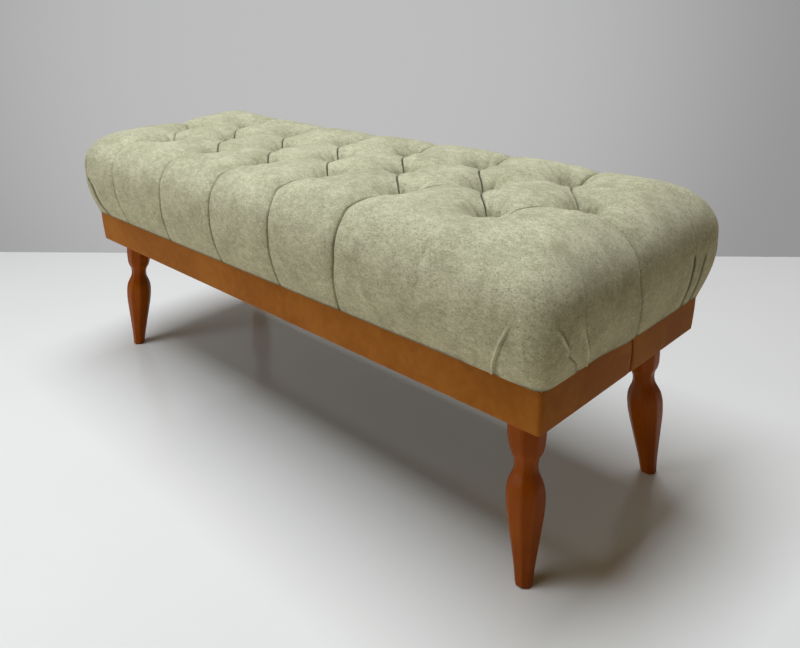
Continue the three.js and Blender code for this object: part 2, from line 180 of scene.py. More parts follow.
def between(low, high, share):
    """The value a share of the way from low to high."""
    return low + share * (high - low)


def smooth_step(value):
    """0 below 0, 1 above 1, and a smooth rise between."""
    value = np.clip(value, 0, 1)
    return value * value * (3 - 2 * value)


def unit(vectors):
    """The same directions with length one."""
    return vectors / np.linalg.norm(vectors, axis=-1, keepdims=True)


def crowded(count, places, width, gain, at_borders=0.0):
    """Shares from 0 to 1 that crowd round some places, and perhaps at both borders.

    They are even steps of the running sum of a density.
    """
    fine = np.linspace(0, 1, crowding_steps)
    borders = np.exp(-fine / border_width_share) + np.exp(-(1 - fine) / border_width_share)
    density = 1 + at_borders * borders
    for place in places:
        density += gain * np.exp(-((fine - place) / width) ** 2)
    total = np.cumsum(density) - density[0]
    return np.interp(np.linspace(0, 1, count + 1), total / total[-1], fine)


def tie_place(name):
    """Where a tuft's tie stands on the plan."""
    low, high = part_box(name)
    return (low.x + high.x) / 2, (low.y + high.y) / 2


tuft_names = sorted(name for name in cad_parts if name.startswith("tuft_tie"))
tufts = np.array([tie_place(name) for name in tuft_names])
field_half_length = tufts[:, 0].max()
field_half_depth = tufts[:, 1].max()
middle_tufts = np.sort(tufts[np.abs(tufts[:, 1]) < MM][:, 0])
outer_tufts = np.sort(tufts[tufts[:, 1] > MM][:, 0])
half_pitch = (middle_tufts[1] - middle_tufts[0]) / 2


def ring_share(x, y):
    """How far out a place on the plan lies: 0 at the tufted field, 1 at the widest outline.

    The rings between them are rounded rectangles whose half sizes and corner radius grow
    evenly with the share, and the share of a place solves its ring's equation.
    """
    out_x = np.abs(x) - field_half_length
    out_y = np.abs(y) - field_half_depth
    grow_x = widest_half_length - field_half_length
    grow_y = widest_half_depth - field_half_depth
    straight = np.maximum(np.maximum(out_x / grow_x, out_y / grow_y), 0)
    round_x = grow_x - widest_radius
    round_y = grow_y - widest_radius
    in_corner = (out_x > round_x * straight) & (out_y > round_y * straight) & (straight > 0)
    a = round_x**2 + round_y**2 - widest_radius**2
    b = out_x * round_x + out_y * round_y
    c = out_x**2 + out_y**2
    corner = (b - np.sqrt(np.maximum(b**2 - a * c, 0))) / a
    return np.where(in_corner, corner, straight)


def crown_wave(x):
    """How much higher the crown stands along the bench: a sine, up at the right."""
    return crown_wave_height * np.sin(np.pi * x / half_length)


def crown_surface(x, y):
    """Point, normal and ring share of the plain cushion's top over places on the plan.

    From the flat field to the widest level the height follows a superellipse of the share,
    a little fuller at the left than at the right.
    """
    share = np.clip(ring_share(x, y), 0, 1)
    power = shoulder_power - shoulder_power_drift * x / half_length
    rise = np.maximum(1 - share**power, 0) ** (1 / power)
    height = crown_level + crown_wave(x) - widest_level
    step = slope_step
    slope_x = (ring_share(x + step, y) - ring_share(x - step, y)) / (2 * step)
    slope_y = (ring_share(x, y + step) - ring_share(x, y - step)) / (2 * step)
    steep = share ** (power - 1)
    up = rise ** (power - 1) / height
    point = np.stack([x, y, widest_level + height * rise], axis=-1)
    normal = unit(np.stack([steep * slope_x, steep * slope_y, up + least_slope], axis=-1))
    return point, normal, share


def outline(spot, half_x, half_y, radius):
    """Point and outward direction of a rounded rectangle.

    The spot runs from 0 to 8: front side, corner, right end, corner, back side and so on,
    each side or quarter circle taking one unit.
    """
    spot = np.mod(spot, 8)
    part = np.floor(spot)
    along = spot - part
    quarter = np.floor(part / 2)
    on_side = np.mod(part, 2) < 1
    turn = np.where(on_side, 0, along) * np.pi / 2 + (quarter - 1) * np.pi / 2
    side_x, side_y = half_x - radius, half_y - radius
    corner_x = np.where((quarter == 0) | (quarter == 1), side_x, -side_x)
    corner_y = np.where((quarter == 1) | (quarter == 2), side_y, -side_y)
    run = 2 * along - 1
    centre_x = np.select([on_side & (quarter == 0), on_side & (quarter == 2)],
                         [run * side_x, -run * side_x], corner_x)
    centre_y = np.select([on_side & (quarter == 1), on_side & (quarter == 3)],
                         [run * side_y, -run * side_y], corner_y)
    outward = np.stack([np.cos(turn), np.sin(turn)], axis=-1)
    place = np.stack([centre_x, centre_y], axis=-1) + radius[..., None] * outward
    return place, outward


def lip_droop(place, outward, half_y):
    """How far the lip hangs below the apron's top: more at the ends, behind their middle."""
    backwards = (place[..., 1] / half_y - end_droop_start_share) / end_droop_rise_share
    return between(side_droop, end_droop, np.abs(outward[..., 0]) * smooth_step(backwards))


def side_surface(spot, drop):
    """Point, normal and ring share (1 to 2) of the plain side, from the widest to the hem.

    The side draws in as a sine of the height, hangs a little over the apron and turns under
    in a quarter round.
    """
    spot, drop = np.broadcast_arrays(spot, drop)
    swell = np.cos(drop * np.pi / 2)
    radius = between(widest_radius, hem_radius, drop)
    half_x = between(half_length + hem_overhang, widest_half_length, swell)
    half_y = between(half_depth + hem_overhang, widest_half_depth, swell)
    place, outward = outline(spot, half_x, half_y, radius)
    lip_level = apron_top - lip_droop(place, outward, half_y)
    level = between(widest_level, lip_level, drop)
    close = np.clip(1 - (level - lip_level) / lip_round, 0, 1)
    tuck = lip_tuck * (1 - np.sqrt(1 - close**2))
    place = outline(spot, half_x - tuck, half_y - tuck, radius)[0]
    swell_depth = widest_half_depth - half_depth - hem_overhang
    lean = swell_depth * np.sin(drop * np.pi / 2) * np.pi / 2 / (widest_level - apron_top)
    point = np.concatenate([place, level[..., None]], axis=-1)
    normal = unit(np.concatenate([outward, -lean[..., None]], axis=-1))
    return point, normal, 1 + drop


# How side pleats wander along the side, in half pitches, at these ring shares
wander_at_shares = (0, 0.12, 0.4, 0.7, 1.0, 2.0)
front_wander_shares = {
    -5: (0, -0.05, -0.40, -0.52, -0.34, -0.30),
    -3: (0, 0.08, -0.16, -0.24, -0.06, -0.26),
    -1: (0, 0.10, -0.14, -0.22, -0.04, -0.10),
    1: (0, 0.10, -0.16, -0.26, -0.02, -0.05),
    3: (0, 0.08, -0.12, -0.26, -0.14, -0.30),
    5: (0, 0.04, -0.14, -0.20, -0.16, -0.34),
}
back_wander_shares = {
    -5: (0, 0.05, 0.10, 0.20, 0.16, 0.05),
    -3: (0, -0.05, 0.12, 0.18, 0.10, -0.08),
    -1: (0, 0.04, 0.10, 0.16, 0.20, 0.10),
    1: (0, -0.06, 0.08, 0.12, 0.05, 0.05),
    3: (0, 0.06, 0.14, 0.12, 0.02, 0.08),
    5: (0, 0.02, 0.10, 0.10, 0.12, -0.05),
}
end_wander_shares = {
    -1: (0, 0.05, 0.16, 0.25, 0.22, -0.10),
    1: (0, -0.04, -0.22, -0.30, -0.32, 0.20),
}
front_strength_shares = {-5: 0.8, -3: 0.85, -1: 1.0, 1: 1.0, 3: 1.15, 5: 0.2}
back_strength_shares = {-5: 0.9, -3: 1.0, -1: 0.8, 1: 1.1, 3: 0.9, 5: 0.8}
end_strength_shares = {-1: 0.9, 1: 1.0}


def side_pleat(index, back, share):
    """Where along the side the pleat from an outer tuft runs."""
    wander = (back_wander_shares if back else front_wander_shares)[index]
    return (index + np.interp(share, wander_at_shares, wander)) * half_pitch


def end_pleat(side, share):
    """Where across the end the pleat from the outermost middle tuft runs."""
    return np.interp(share, wander_at_shares, end_wander_shares[side]) * half_pitch


def spot_of_x(x, back):
    """The outline spot at the widest level with this place along the bench."""
    run = x / (widest_half_length - widest_radius)
    return 4 + (1 - run) / 2 if back else (1 + run) / 2


class Grid:
    """Rows and columns of the patches: many for the cushion, few for the cage of its cloth."""

    def __init__(self, pleat_steps, side_columns, corner_rows, shoulder_rows, skirt_rows):
        self.pleat_steps = pleat_steps
        self.side_columns = side_columns
        self.corner_rows = corner_rows
        turns = np.linspace(0, np.pi / 2, shoulder_rows + 1)[1:]
        self.shoulder_shares = np.sin(turns) ** (2 / shoulder_power)
        even = np.linspace(0, 1, skirt_rows + 1)[1:]
        self.skirt_drops = 1 - (1 - even) ** skirt_pinch_power

    def marks(self, first_rows):
        """The row numbers where a patch's field, shoulder, skirt and underside end."""
        parts = [0, first_rows, len(self.shoulder_shares), len(self.skirt_drops), under_rows]
        return np.cumsum(parts)


fine_grid = Grid(pleat_steps=72, side_columns=44, corner_rows=12, shoulder_rows=34,
                 skirt_rows=26)
cage_grid = Grid(pleat_steps=18, side_columns=16, corner_rows=5, shoulder_rows=13,
                 skirt_rows=9)


def stacked(blocks):
    """Joins blocks of point, normal, share, lift and painted crease shading rows into one grid.
    """
    return tuple(np.concatenate(parts, axis=0) for parts in zip(*blocks))


def under_block(spots, medial):
    """From the lip back up the apron's face, then flat over the board to the middle line."""
    insets = np.array([-face_gap, -face_gap, 0, board_reach])[:, None]
    rise_shares = np.array([0.5, 1, 1, 1])[:, None]
    spots = np.broadcast_to(spots, (len(insets), len(spots)))
    place, outward = outline(spots, half_length - insets + 0 * spots,
                             half_depth - insets + 0 * spots, hem_radius + 0 * spots)
    lip_level = apron_top - lip_droop(place, outward, half_depth)
    level = between(lip_level, hem_level, rise_shares)
    point = np.concatenate([place, level[..., None]], axis=-1)
    middle = np.append(medial, np.full((len(medial), 1), hem_level), axis=1)[None]
    point = np.concatenate([point, middle], axis=0)
    normal = np.zeros(point.shape)
    normal[..., 2] = -1
    return point, normal, np.full(point.shape[:2], under_share)


def plain(block):
    """The block with no corner creases."""
    return block + (np.zeros(block[2].shape), np.zeros(block[2].shape))


def bowed(x, y):
    """Places of the field, shifted so that one family of its pleats bows to the front left.

    The shift is a squared sine along each pleat, and it fades at the outer rows.
    """
    along_x, along_y = x / half_pitch, y / field_half_depth
    wave = np.sin((along_x - along_y) * np.pi / 2) ** 2
    shift = pleat_bow * wave * (1 - np.clip(along_y, -1, 1) ** 4)
    across = unit(np.array([field_half_depth, half_pitch]))
    return x + shift * across[0], y + shift * across[1]


def side_patch(grid, index, back):
    """The lobe between two side pleats: it starts at a middle tuft and runs down to the hem."""
    sign = 1 if back else -1
    across = spread(grid.side_columns, column_pinch_share)[None, :]
    rows = spread(grid.pleat_steps, row_pinch_share)[:, None]
    x = (index + rows * (2 * across - 1)) * half_pitch
    field = crown_surface(*bowed(x, sign * rows * field_half_depth + 0 * x))
    share = grid.shoulder_shares[:, None]
    left = side_pleat(index - 1, back, share)
    right = side_pleat(index + 1, back, share)
    y = sign * between(field_half_depth, widest_half_depth, share)
    shoulder = crown_surface(between(left, right, across), y + 0 * across)
    drop = grid.skirt_drops[:, None]
    left = side_pleat(index - 1, back, 1 + drop)
    right = side_pleat(index + 1, back, 1 + drop)
    spots = spot_of_x(between(left, right, across), back)
    skirt = side_surface(spots, drop)
    middle = index * half_pitch + (2 * across[0] - 1) * half_pitch
    medial = np.stack([middle, 0 * middle], axis=-1)
    under = under_block(spots[-1], medial)
    return stacked([plain(field), plain(shoulder), plain(skirt), plain(under)])


# Creases of each corner: the place as a share of the way round, the corner spots at the ring
# shares below, the ring share where the crease begins, and its strength, which is below 0 for
# a slit with painted shade and above 0 for a ridge with a painted highlight. A corner spot is
# 1 where the corner's arc begins and 2 where it ends.
Crease = namedtuple("Crease", "place spots begin strength")
crease_at_shares = (1.0, 1.1, 1.2, 1.34, 1.7, 2.0)
corner_crease_shares = {
    (1, False): (
        Crease(0.28, (0.995, 0.988, 0.982, 0.973, 0.957, 0.948), 0.98, 1.0),
        Crease(0.37, (1.12, 1.09, 1.06, 1.02, 0.975, 0.963), 1.10, 0.4),
        Crease(0.50, (1.62, 1.72, 1.80, 1.970, 2.085, 2.15), 0.96, 1.0),
        Crease(0.61, (2.038, 2.052, 2.066, 2.092, 2.165, 2.21), 0.86, 0.9),
    ),
    (1, True): (
        Crease(0.32, (1.10, 1.08, 1.06, 1.04, 1.01, 0.98), 0.96, 0.9),
        Crease(0.53, (2.06, 2.07, 2.08, 2.085, 2.07, 2.05), 1.02, -1.6),
        Crease(0.63, (2.17, 2.17, 2.17, 2.17, 2.15, 2.12), 0.94, -1.6),
    ),
    (-1, False): (
        Crease(0.32, (1.10, 1.00, 0.985, 0.98, 0.973, 0.96), 0.90, -1.6),
        Crease(0.50, (1.50, 1.65, 1.80, 2.00, 2.09, 2.16), 1.02, 1.0),
        Crease(0.64, (2.08, 2.10, 2.12, 2.145, 2.19, 2.24), 0.88, 0.7),
    ),
    (-1, True): (
        Crease(0.28, (0.96, 0.958, 0.955, 0.95, 0.94, 0.93), 0.95, 0.9),
        Crease(0.48, (1.42, 1.50, 1.58, 1.70, 1.90, 2.00), 0.94, 1.1),
        Crease(0.66, (2.12, 2.14, 2.16, 2.18, 2.21, 2.25), 1.00, 0.8),
    ),
}


def spot_of_corner(side, back, corner_spot):
    """The outline spot of a corner spot, which counts from the long side to the end."""
    if back:
        return 5 - corner_spot if side > 0 else 4 + corner_spot
    return corner_spot if side > 0 else 1 - corner_spot


def corner_columns(grid, side, back):
    """Shares of the way round the corner, crowded at its borders and at its creases."""
    places = [crease.place for crease in corner_crease_shares[side, back]]
    return crowded(grid.pleat_steps, places, crease_crowd_share, crease_gain, border_gain)


def corner_spots(side, back, share, across):
    """Outline spots from the last side pleat through the creases to the end pleat."""
    row = 1 if back else -1
    side_run = np.abs(side_pleat(5 * side, back, share)) / (widest_half_length - widest_radius)
    end_run = end_pleat(side, share) / (widest_half_depth - widest_radius)
    creases = corner_crease_shares[side, back]
    places = np.array([0.0] + [crease.place for crease in creases] + [1.0])
    spots = [(1 + side_run) / 2]
    spots += [np.interp(share, crease_at_shares, crease.spots) for crease in creases]
    spots += [2 + (1 - row * end_run) / 2]
    weights = np.array([np.interp(across, places, line) for line in np.eye(len(places))])
    spots = np.stack([spot + 0 * share for spot in spots], axis=-1)
    return spot_of_corner(side, back, spots @ weights)


def crease_lift(points, side, back, across, share):
    """Height and painted shading of the corner's creases: a ridge beside a dip, or a slit.

    The ridge is thin and the dip shallow. The distance runs along each row, and each crease
    fades in from where it begins. The ridge gets a painted highlight, the dip and the slit
    painted shade.
    """
    steps = np.linalg.norm(np.diff(points, axis=1), axis=-1)
    run = np.concatenate([np.zeros((len(points), 1)), np.cumsum(steps, axis=1)], axis=1)
    lift = np.zeros(run.shape)
    painted_crease_shading = np.zeros(run.shape)
    for crease in corner_crease_shares[side, back]:
        fade = smooth_step((share - crease.begin) / crease_fade_share)
        fade = fade * np.interp(share, crease_end_at_shares, crease_end_shares)
        strength = crease.strength * fade[:, None]
        at = np.array([np.interp(crease.place, across, line) for line in run])[:, None]
        width = crease_width * (crease_slit_width_share if crease.strength < 0 else 1)
        away = (run - at) / width
        ridge = np.exp(-away**2) * strength
        beside = (away - crease_dip_place_share) / crease_dip_width_share
        dip = crease_dip_share * np.exp(-beside**2) * np.maximum(strength, 0)
        lift += crease_height * (ridge - dip)
        # Painted shading: a painted highlight along the ridge, painted shade in the dip and the
        # slit
        painted_crease_shading += dip - ridge
    return lift, painted_crease_shading


def corner_rim(side, row, across):
    """The edge of the corner's field: a quadratic curve from an outer tuft to a middle one."""
    start = np.array([outer_tufts[-1] * side, field_half_depth * row])
    bend = np.array([field_half_length * side, field_half_depth * row])
    end = np.array([field_half_length * side, 0.0])
    reach = across[:, None]
    rest = 1 - reach
    return rest**2 * start + 2 * rest * reach * bend + reach**2 * end


def corner_field(grid, side, row, rim):
    """From the pleat between the last two tufts to the rim."""
    along = spread(grid.pleat_steps, row_pinch_share)
    pleat = bowed(between(outer_tufts[-1], field_half_length, along) * side,
                  between(field_half_depth, 0, along) * row)
    shares = np.linspace(0, 1, grid.corner_rows + 1)[:, None, None]
    place = between(np.stack(pleat, axis=-1)[None], rim[None], shares)
    return crown_surface(place[..., 0], place[..., 1])


def corner_shoulder(grid, side, back, across, rim):
    """From the rim to the widest level, its borders along the last side and end pleats."""
    spots = corner_spots(side, back, np.ones(1), across)[0]
    level = 0 * spots
    widest = outline(spots, widest_half_length + level, widest_half_depth + level,
                     widest_radius + level)[0]
    share = grid.shoulder_shares[:, None]
    side_wander = side_pleat(5 * side, back, share) - between(rim[0, 0], widest[0, 0], share)
    end_wander = end_pleat(side, share) - widest[-1, 1] * share
    wander = np.stack([side_wander * (1 - across), end_wander * across], axis=-1)
    place = between(rim[None], widest[None], share[..., None]) + wander
    return crown_surface(place[..., 0], place[..., 1])


def corner_patch(grid, side, back):
    """The big lobe at a corner, under the pleat between the last two tufts."""
    row = 1 if back else -1
    across = corner_columns(grid, side, back)
    rim = corner_rim(side, row, across)
    field = corner_field(grid, side, row, rim)
    shoulder = corner_shoulder(grid, side, back, across, rim)
    spots = corner_spots(side, back, 1 + grid.skirt_drops, across)
    skirt = side_surface(spots, grid.skirt_drops[:, None])
    shares = np.concatenate([grid.shoulder_shares, 1 + grid.skirt_drops])
    lift, painted_crease_shading = crease_lift(np.concatenate([shoulder[0], skirt[0]]), side, back, across, shares)
    split = len(grid.shoulder_shares)
    shoulder = shoulder + (lift[:split], painted_crease_shading[:split])
    skirt = skirt + (lift[split:], painted_crease_shading[split:])
    middle = between(outer_tufts[-1], field_half_length, across) * side
    under = under_block(spots[-1], np.stack([middle, 0 * middle], axis=-1))
    return stacked([plain(field), shoulder, skirt, plain(under)])


def diamond_patch(grid, index):
    """The lobe between four tufts, gridded along its two families of pleats."""
    one = spread(grid.pleat_steps, row_pinch_share)[:, None]
    other = spread(grid.pleat_steps, row_pinch_share)[None, :]
    x = (index - 1 + one + other) * half_pitch
    y = (other - one) * field_half_depth
    return plain(crown_surface(*bowed(x, y)))


class Change:
    """How far each point of the plain cushion is lowered, shifted and darkened with painted
    shade.

    Folds is 1 for the finished cushion, and 0 for the cage, which has no slits or gathers.
    """

    def __init__(self, count, folds):
        self.lower = np.zeros(count)
        self.shift = np.zeros((count, 3))
        self.crease = np.zeros(count)
        self.held = np.zeros(count)
        self.folds = folds


def add_pleat(change, distance, window, valley, width, slit, opening, tangent):
    """Adds a folded pleat at signed distances from its line.

    A broad valley holds a narrow slit, which gets painted shade. The cloth on the positive side
    rises a little before the slit and leans over it, most at its edge.
    """
    apart = np.abs(distance)
    notch = np.exp(-(apart / opening) ** slit_power)
    over = np.where(distance > 0, 1 - np.exp(-(apart / lip_start) ** 2), 0)
    over = over * np.exp(-apart / lip_width) * slit / slit_depth * change.folds
    change.lower += window * valley * np.exp(-(apart / width) ** valley_power)
    change.lower += slit * notch * change.folds
    change.lower -= lip_rise * over
    change.shift -= (lip_reach * over)[:, None] * tangent
    # Painted shade along the slit, as strong as the slit is deep
    change.crease = np.maximum(change.crease, slit / slit_depth * notch)


def gather_wave(angle, x, y):
    """Two cosines of the angle round the tuft at x, y, which turns them its own way."""
    turn = gather_turns[0] * x / half_pitch + gather_turns[1] * y / half_pitch
    first = np.cos(gather_folds[0] * angle + turn)
    return first + gather_second_share * np.cos(gather_folds[1] * angle
                                                + gather_second_turn * turn)


def add_tufts(change, point):
    """Draws the cloth down at every tuft: a broad bowl, a steep pit with painted shade, and
    gathers.
    """
    for x, y in tufts:
        centre = np.array([x, y, crown_level + crown_wave(x)])
        reach = np.linalg.norm(point - centre, axis=-1)
        change.lower += bowl_depth * np.exp(-(reach / bowl_width) ** bowl_power)
        depth = pit_depth + crown_wave(x)
        change.lower += depth * np.exp(-(reach / pit_width) ** pit_power)
        change.held = np.maximum(change.held, np.exp(-(reach / pit_hold) ** pit_hold_power))
        wave = gather_wave(np.arctan2(point[:, 1] - y, point[:, 0] - x), x, y)
        gather = wave * np.exp(-reach / gather_reach) * smooth_step(reach / gather_start)
        change.lower += gather_depth * gather * change.folds
        # Painted shade: dark round the pit and in the hollows of the gathers
        shade = pit_painted_shade_share * np.exp(-(reach / pit_painted_shade) ** pit_painted_shade_power)
        shade = np.clip(shade + pucker_painted_shade_share * gather, 0, 1)
        change.crease = np.maximum(change.crease, shade)


def field_pleats():
    """Start and end of each pleat between a middle tuft and its neighbours in the outer rows."""
    for x in middle_tufts:
        for side in (-1, 1):
            for row in (-1, 1):
                far = x + side * half_pitch
                if abs(far) < field_half_length:
                    yield np.array([x, 0.0]), np.array([far, row * field_half_depth])


def add_field_pleats(change, point):
    """Pleats along the diagonals of the tufted field."""
    for start, end in field_pleats():
        line = end - start
        length = np.linalg.norm(line)
        line = line / length
        across = np.array([line[1], -line[0]])
        across = across * np.sign(across[1])
        offset = point[:, :2] - start
        along = offset @ line / length
        inside = np.clip(along, 0, 1)
        distance = offset @ across
        if line[0] * line[1] < 0:
            distance = distance - pleat_bow * np.sin(np.pi * inside) ** 2 * (1 - inside**4)
        over_ends = np.maximum(np.maximum(-along, along - 1), 0) * length
        window = (4 * inside * (1 - inside)) ** pleat_end_power
        window = window * np.exp(-over_ends / pleat_end_fade)
        window = window * (np.abs(distance) < valley_reach_share * valley_width)
        tangent = np.append(across, 0.0)
        add_pleat(change, distance, window, valley_depth, valley_width,
                  slit_depth * window, slit_width, tangent)


def add_side_pleat(change, share, distance, beyond, strength, tangent):
    """A pleat over the shoulder and down to the hem, at signed distances from its line."""
    valley = np.interp(share, side_valley_at_shares, side_valley_shares)
    slit = slit_depth * np.interp(share, side_slit_at_shares, side_slit_shares)
    near = np.abs(distance) < valley_reach_share * side_valley_width
    near = strength * (beyond & near & (share <= 2))
    add_pleat(change, distance, near * valley, side_valley_depth, side_valley_width,
              near * strength * slit, side_slit_width, tangent)


def add_side_pleats(change, point, share):
    """Pleats from the outer tufts to the front and back, and from the middle row to the ends."""
    for back, strengths in ((False, front_strength_shares), (True, back_strength_shares)):
        row = 1 if back else -1
        beyond = row * point[:, 1] > field_half_depth - row_margin
        for index, strength in strengths.items():
            distance = point[:, 0] - side_pleat(index, back, share)
            tangent = np.array([1.0, 0.0, 0.0])
            add_side_pleat(change, share, distance, beyond, strength, tangent)
    for side, strength in end_strength_shares.items():
        beyond = side * point[:, 0] > field_half_length - row_margin
        distance = side * (point[:, 1] - end_pleat(side, share))
        tangent = np.array([0.0, float(side), 0.0])
        add_side_pleat(change, share, distance, beyond, strength, tangent)


def tufted(patch, folds):
    """The tufted surface over a patch of the plain one, with painted shade, painted crease
    shading and holds.
    """
    point, normal, share, lift, painted_crease_shading = patch
    shape = share.shape
    point, normal, share = point.reshape(-1, 3), normal.reshape(-1, 3), share.ravel()
    change = Change(len(point), folds)
    add_tufts(change, point)
    add_field_pleats(change, point)
    add_side_pleats(change, point, share)
    change.lower -= lift.ravel() * folds
    moved = point - normal * change.lower[:, None] + change.shift
    moved = np.where((share > 2)[:, None], point, moved)
    above_lip = np.maximum(2 - share, 0) * (widest_level - apron_top)
    # Painted shade along the lip where the cloth meets the apron
    hem_painted_shade = hem_painted_shade_share * np.exp(-(above_lip / hem_painted_shade_height) ** 2)
    crease = np.maximum(change.crease, hem_painted_shade).reshape(shape)
    return moved.reshape(shape + (3,)), crease, painted_crease_shading, change.held.reshape(shape)


def grid_faces(rows, columns, flip):
    """Quads of a grid of rows by columns, as vertex numbers."""
    corner = np.arange(rows - 1)[:, None] * columns + np.arange(columns - 1)[None, :]
    around = [corner, corner + 1, corner + columns + 1, corner + columns]
    faces = np.stack(around[::-1] if flip else around, axis=-1)
    return faces.reshape(-1, 4)


def joined(grids):
    """One list of points and one of faces from several grids, each with its flip."""
    points, faces, start = [], [], 0
    for grid, flip in grids:
        rows, columns = grid.shape[:2]
        points.append(grid.reshape(rows * columns, -1))
        faces.append(grid_faces(rows, columns, flip) + start)
        start += rows * columns
    return np.concatenate(points), np.concatenate(faces)


def face_outwards(mesh, weld=0.0):
    """Merges points that lie closer than the weld, and turns the normals outwards."""
    work = bmesh.new()
    work.from_mesh(mesh)
    if weld:
        bmesh.ops.remove_doubles(work, verts=work.verts, dist=weld)
        bmesh.ops.dissolve_degenerate(work, edges=work.edges, dist=weld)
    bmesh.ops.recalc_face_normals(work, faces=work.faces)
    work.to_mesh(mesh)
    work.free()


def new_piece(name, points, faces, values=None):
    """A welded mesh object with its normals outwards, and perhaps a number at each point."""
    mesh = bpy.data.meshes.new(name)
    mesh.from_pydata(points.tolist(), [], faces.tolist())
    if values is not None:
        attribute = mesh.attributes.new("fold", "FLOAT", "POINT")
        attribute.data.foreach_set("value", values)
    piece = bpy.data.objects.new(name, mesh)
    bpy.context.scene.collection.objects.link(piece)
    face_outwards(mesh, weld_distance)
    mesh.shade_smooth()
    return piece


def cushion_patches(grid):
    """Each patch of the cushion, whether its faces run the other way, and its marks."""
    patches = []
    side_marks = grid.marks(grid.pleat_steps), np.array([0, grid.side_columns])
    corner_marks = grid.marks(grid.corner_rows), np.array([0, grid.pleat_steps])
    diamond_marks = (np.array([0, grid.pleat_steps]),) * 2
    for index in range(-4, 5, 2):
        patches.append((side_patch(grid, index, False), False, side_marks))
        patches.append((side_patch(grid, index, True), True, side_marks))
    for index in range(-5, 6, 2):
        patches.append((diamond_patch(grid, index), False, diamond_marks))
    for side in (-1, 1):
        for back in (False, True):
            patches.append((corner_patch(grid, side, back), (side > 0) == back, corner_marks))
    return patches


def merged(points, faces):
    """Points with their doubles merged, faces on them, and where each old point went."""
    _, first, where = np.unique(np.round(points / cage_cell).astype(int), axis=0,
                                return_index=True, return_inverse=True)
    where = where.ravel()
    rings = [tuple(dict.fromkeys(face)) for face in where[faces].tolist()]
    return points[first], [ring for ring in rings if len(ring) > 2], where


def pin_weights(share, crease, held):
    """How firmly the cloth is held: in pits and pleats, and fully from the hem on."""
    hem = smooth_step((share - pin_hem_share) / pin_hem_fade_share)
    return np.maximum(np.maximum(hem, held), np.clip(pin_crease_share * crease, 0, 1))


def inflated(points, rings, pins):
    """Where cloth under pressure carries the points from, held at its pins."""
    mesh = bpy.data.meshes.new("cloth_cage")
    mesh.from_pydata(points.tolist(), [], rings)
    face_outwards(mesh)
    cage = bpy.data.objects.new("cloth_cage", mesh)
    bpy.context.scene.collection.objects.link(cage)
    group = cage.vertex_groups.new(name="pins")
    levels = np.round(pins * pin_levels).astype(int)
    for level in range(1, pin_levels + 1):
        group.add(np.flatnonzero(levels == level).tolist(), level / pin_levels, "REPLACE")
    cloth = cage.modifiers.new("swelling", "CLOTH")
    cloth.settings.vertex_group_mass = "pins"
    cloth.settings.use_pressure = True
    cloth.settings.uniform_pressure_force = cloth_pressure
    cloth.settings.effector_weights.gravity = 0.0
    cloth.point_cache.frame_end = cloth_frames
    for step in range(1, cloth_frames + 1):
        bpy.context.scene.frame_set(step)
    swollen = cage.evaluated_get(bpy.context.evaluated_depsgraph_get())
    moved = np.zeros(points.size)
    swollen.data.vertices.foreach_get("co", moved)
    bpy.data.objects.remove(cage)
    bpy.data.meshes.remove(mesh)
    return moved.reshape(-1, 3)


def cubic_weights(fine_marks, cage_marks):
    """What each cage row counts at each fine row: a cubic through the cage's values."""
    at = np.interp(np.arange(fine_marks[-1] + 1), fine_marks, cage_marks)
    low = np.clip(np.floor(at).astype(int), 0, cage_marks[-1] - 1)
    t = at - low
    counts = (2 * t**2 - t**3 - t, 3 * t**3 - 5 * t**2 + 2, 4 * t**2 - 3 * t**3 + t, t**3 - t**2)
    weights = np.zeros((len(at), cage_marks[-1] + 1))
    for offset, count in enumerate(counts):
        spot = np.clip(low + offset - 1, 0, cage_marks[-1])
        np.add.at(weights, (np.arange(len(at)), spot), count / 2)
    return weights


def swelling():
    """How far each point of each fine patch moves as the cloth swells over its filling.

    A coarse cage of the same patches swells as cloth. Its moves are limited smoothly and
    carried to the fine rows and columns by cubics.
    """
    cages = cushion_patches(cage_grid)
    shapes = [tufted(patch, 0) for patch, _, _ in cages]
    pins = np.concatenate([pin_weights(patch[2], crease, held).ravel()
                           for (patch, _, _), (_, crease, _, held) in zip(cages, shapes)])
    points, faces = joined([(made[0], cage[1]) for made, cage in zip(shapes, cages)])
    start, rings, where = merged(points, faces)
    held = np.zeros(len(start))
    np.maximum.at(held, where, pins)
    moves = inflated(start, rings, held) - start
    length = np.linalg.norm(moves, axis=-1, keepdims=True) + least_move
    moves = (moves * swell_limit * np.tanh(length / swell_limit) / length)[where]
    splits = np.cumsum([made[1].size for made in shapes])[:-1]
    carried = []
    fines = cushion_patches(fine_grid)
    for part, made, cage, fine in zip(np.split(moves, splits), shapes, cages, fines):
        down = cubic_weights(fine[2][0], cage[2][0])
        along = cubic_weights(fine[2][1], cage[2][1])
        carried.append(np.einsum("ri,ijk,cj->rck", down, part.reshape(made[0].shape), along))
    return carried


def make_cushion():
    """The tufted cushion as one closed welded surface, swollen as cloth."""
    patches = cushion_patches(fine_grid)
    moves = swelling()
    grids = []
    for (patch, flip, _), move in zip(patches, moves):
        shape, crease, painted_crease_shading, _ = tufted(patch, 1)
        # Painted shade above 0, painted highlight on crease ridges below 0
        fold = np.where(painted_crease_shading < 0, painted_crease_shading, np.maximum(crease, painted_crease_shading))
        grids.append((np.concatenate([shape + move, fold[..., None]], axis=-1), flip))
    points, faces = joined(grids)
    return new_piece("seat_cushion", points[:, :3], faces, points[:, 3])


cushion = make_cushion()
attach(cushion, "root")
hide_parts("seat_cover", "foam_pad")

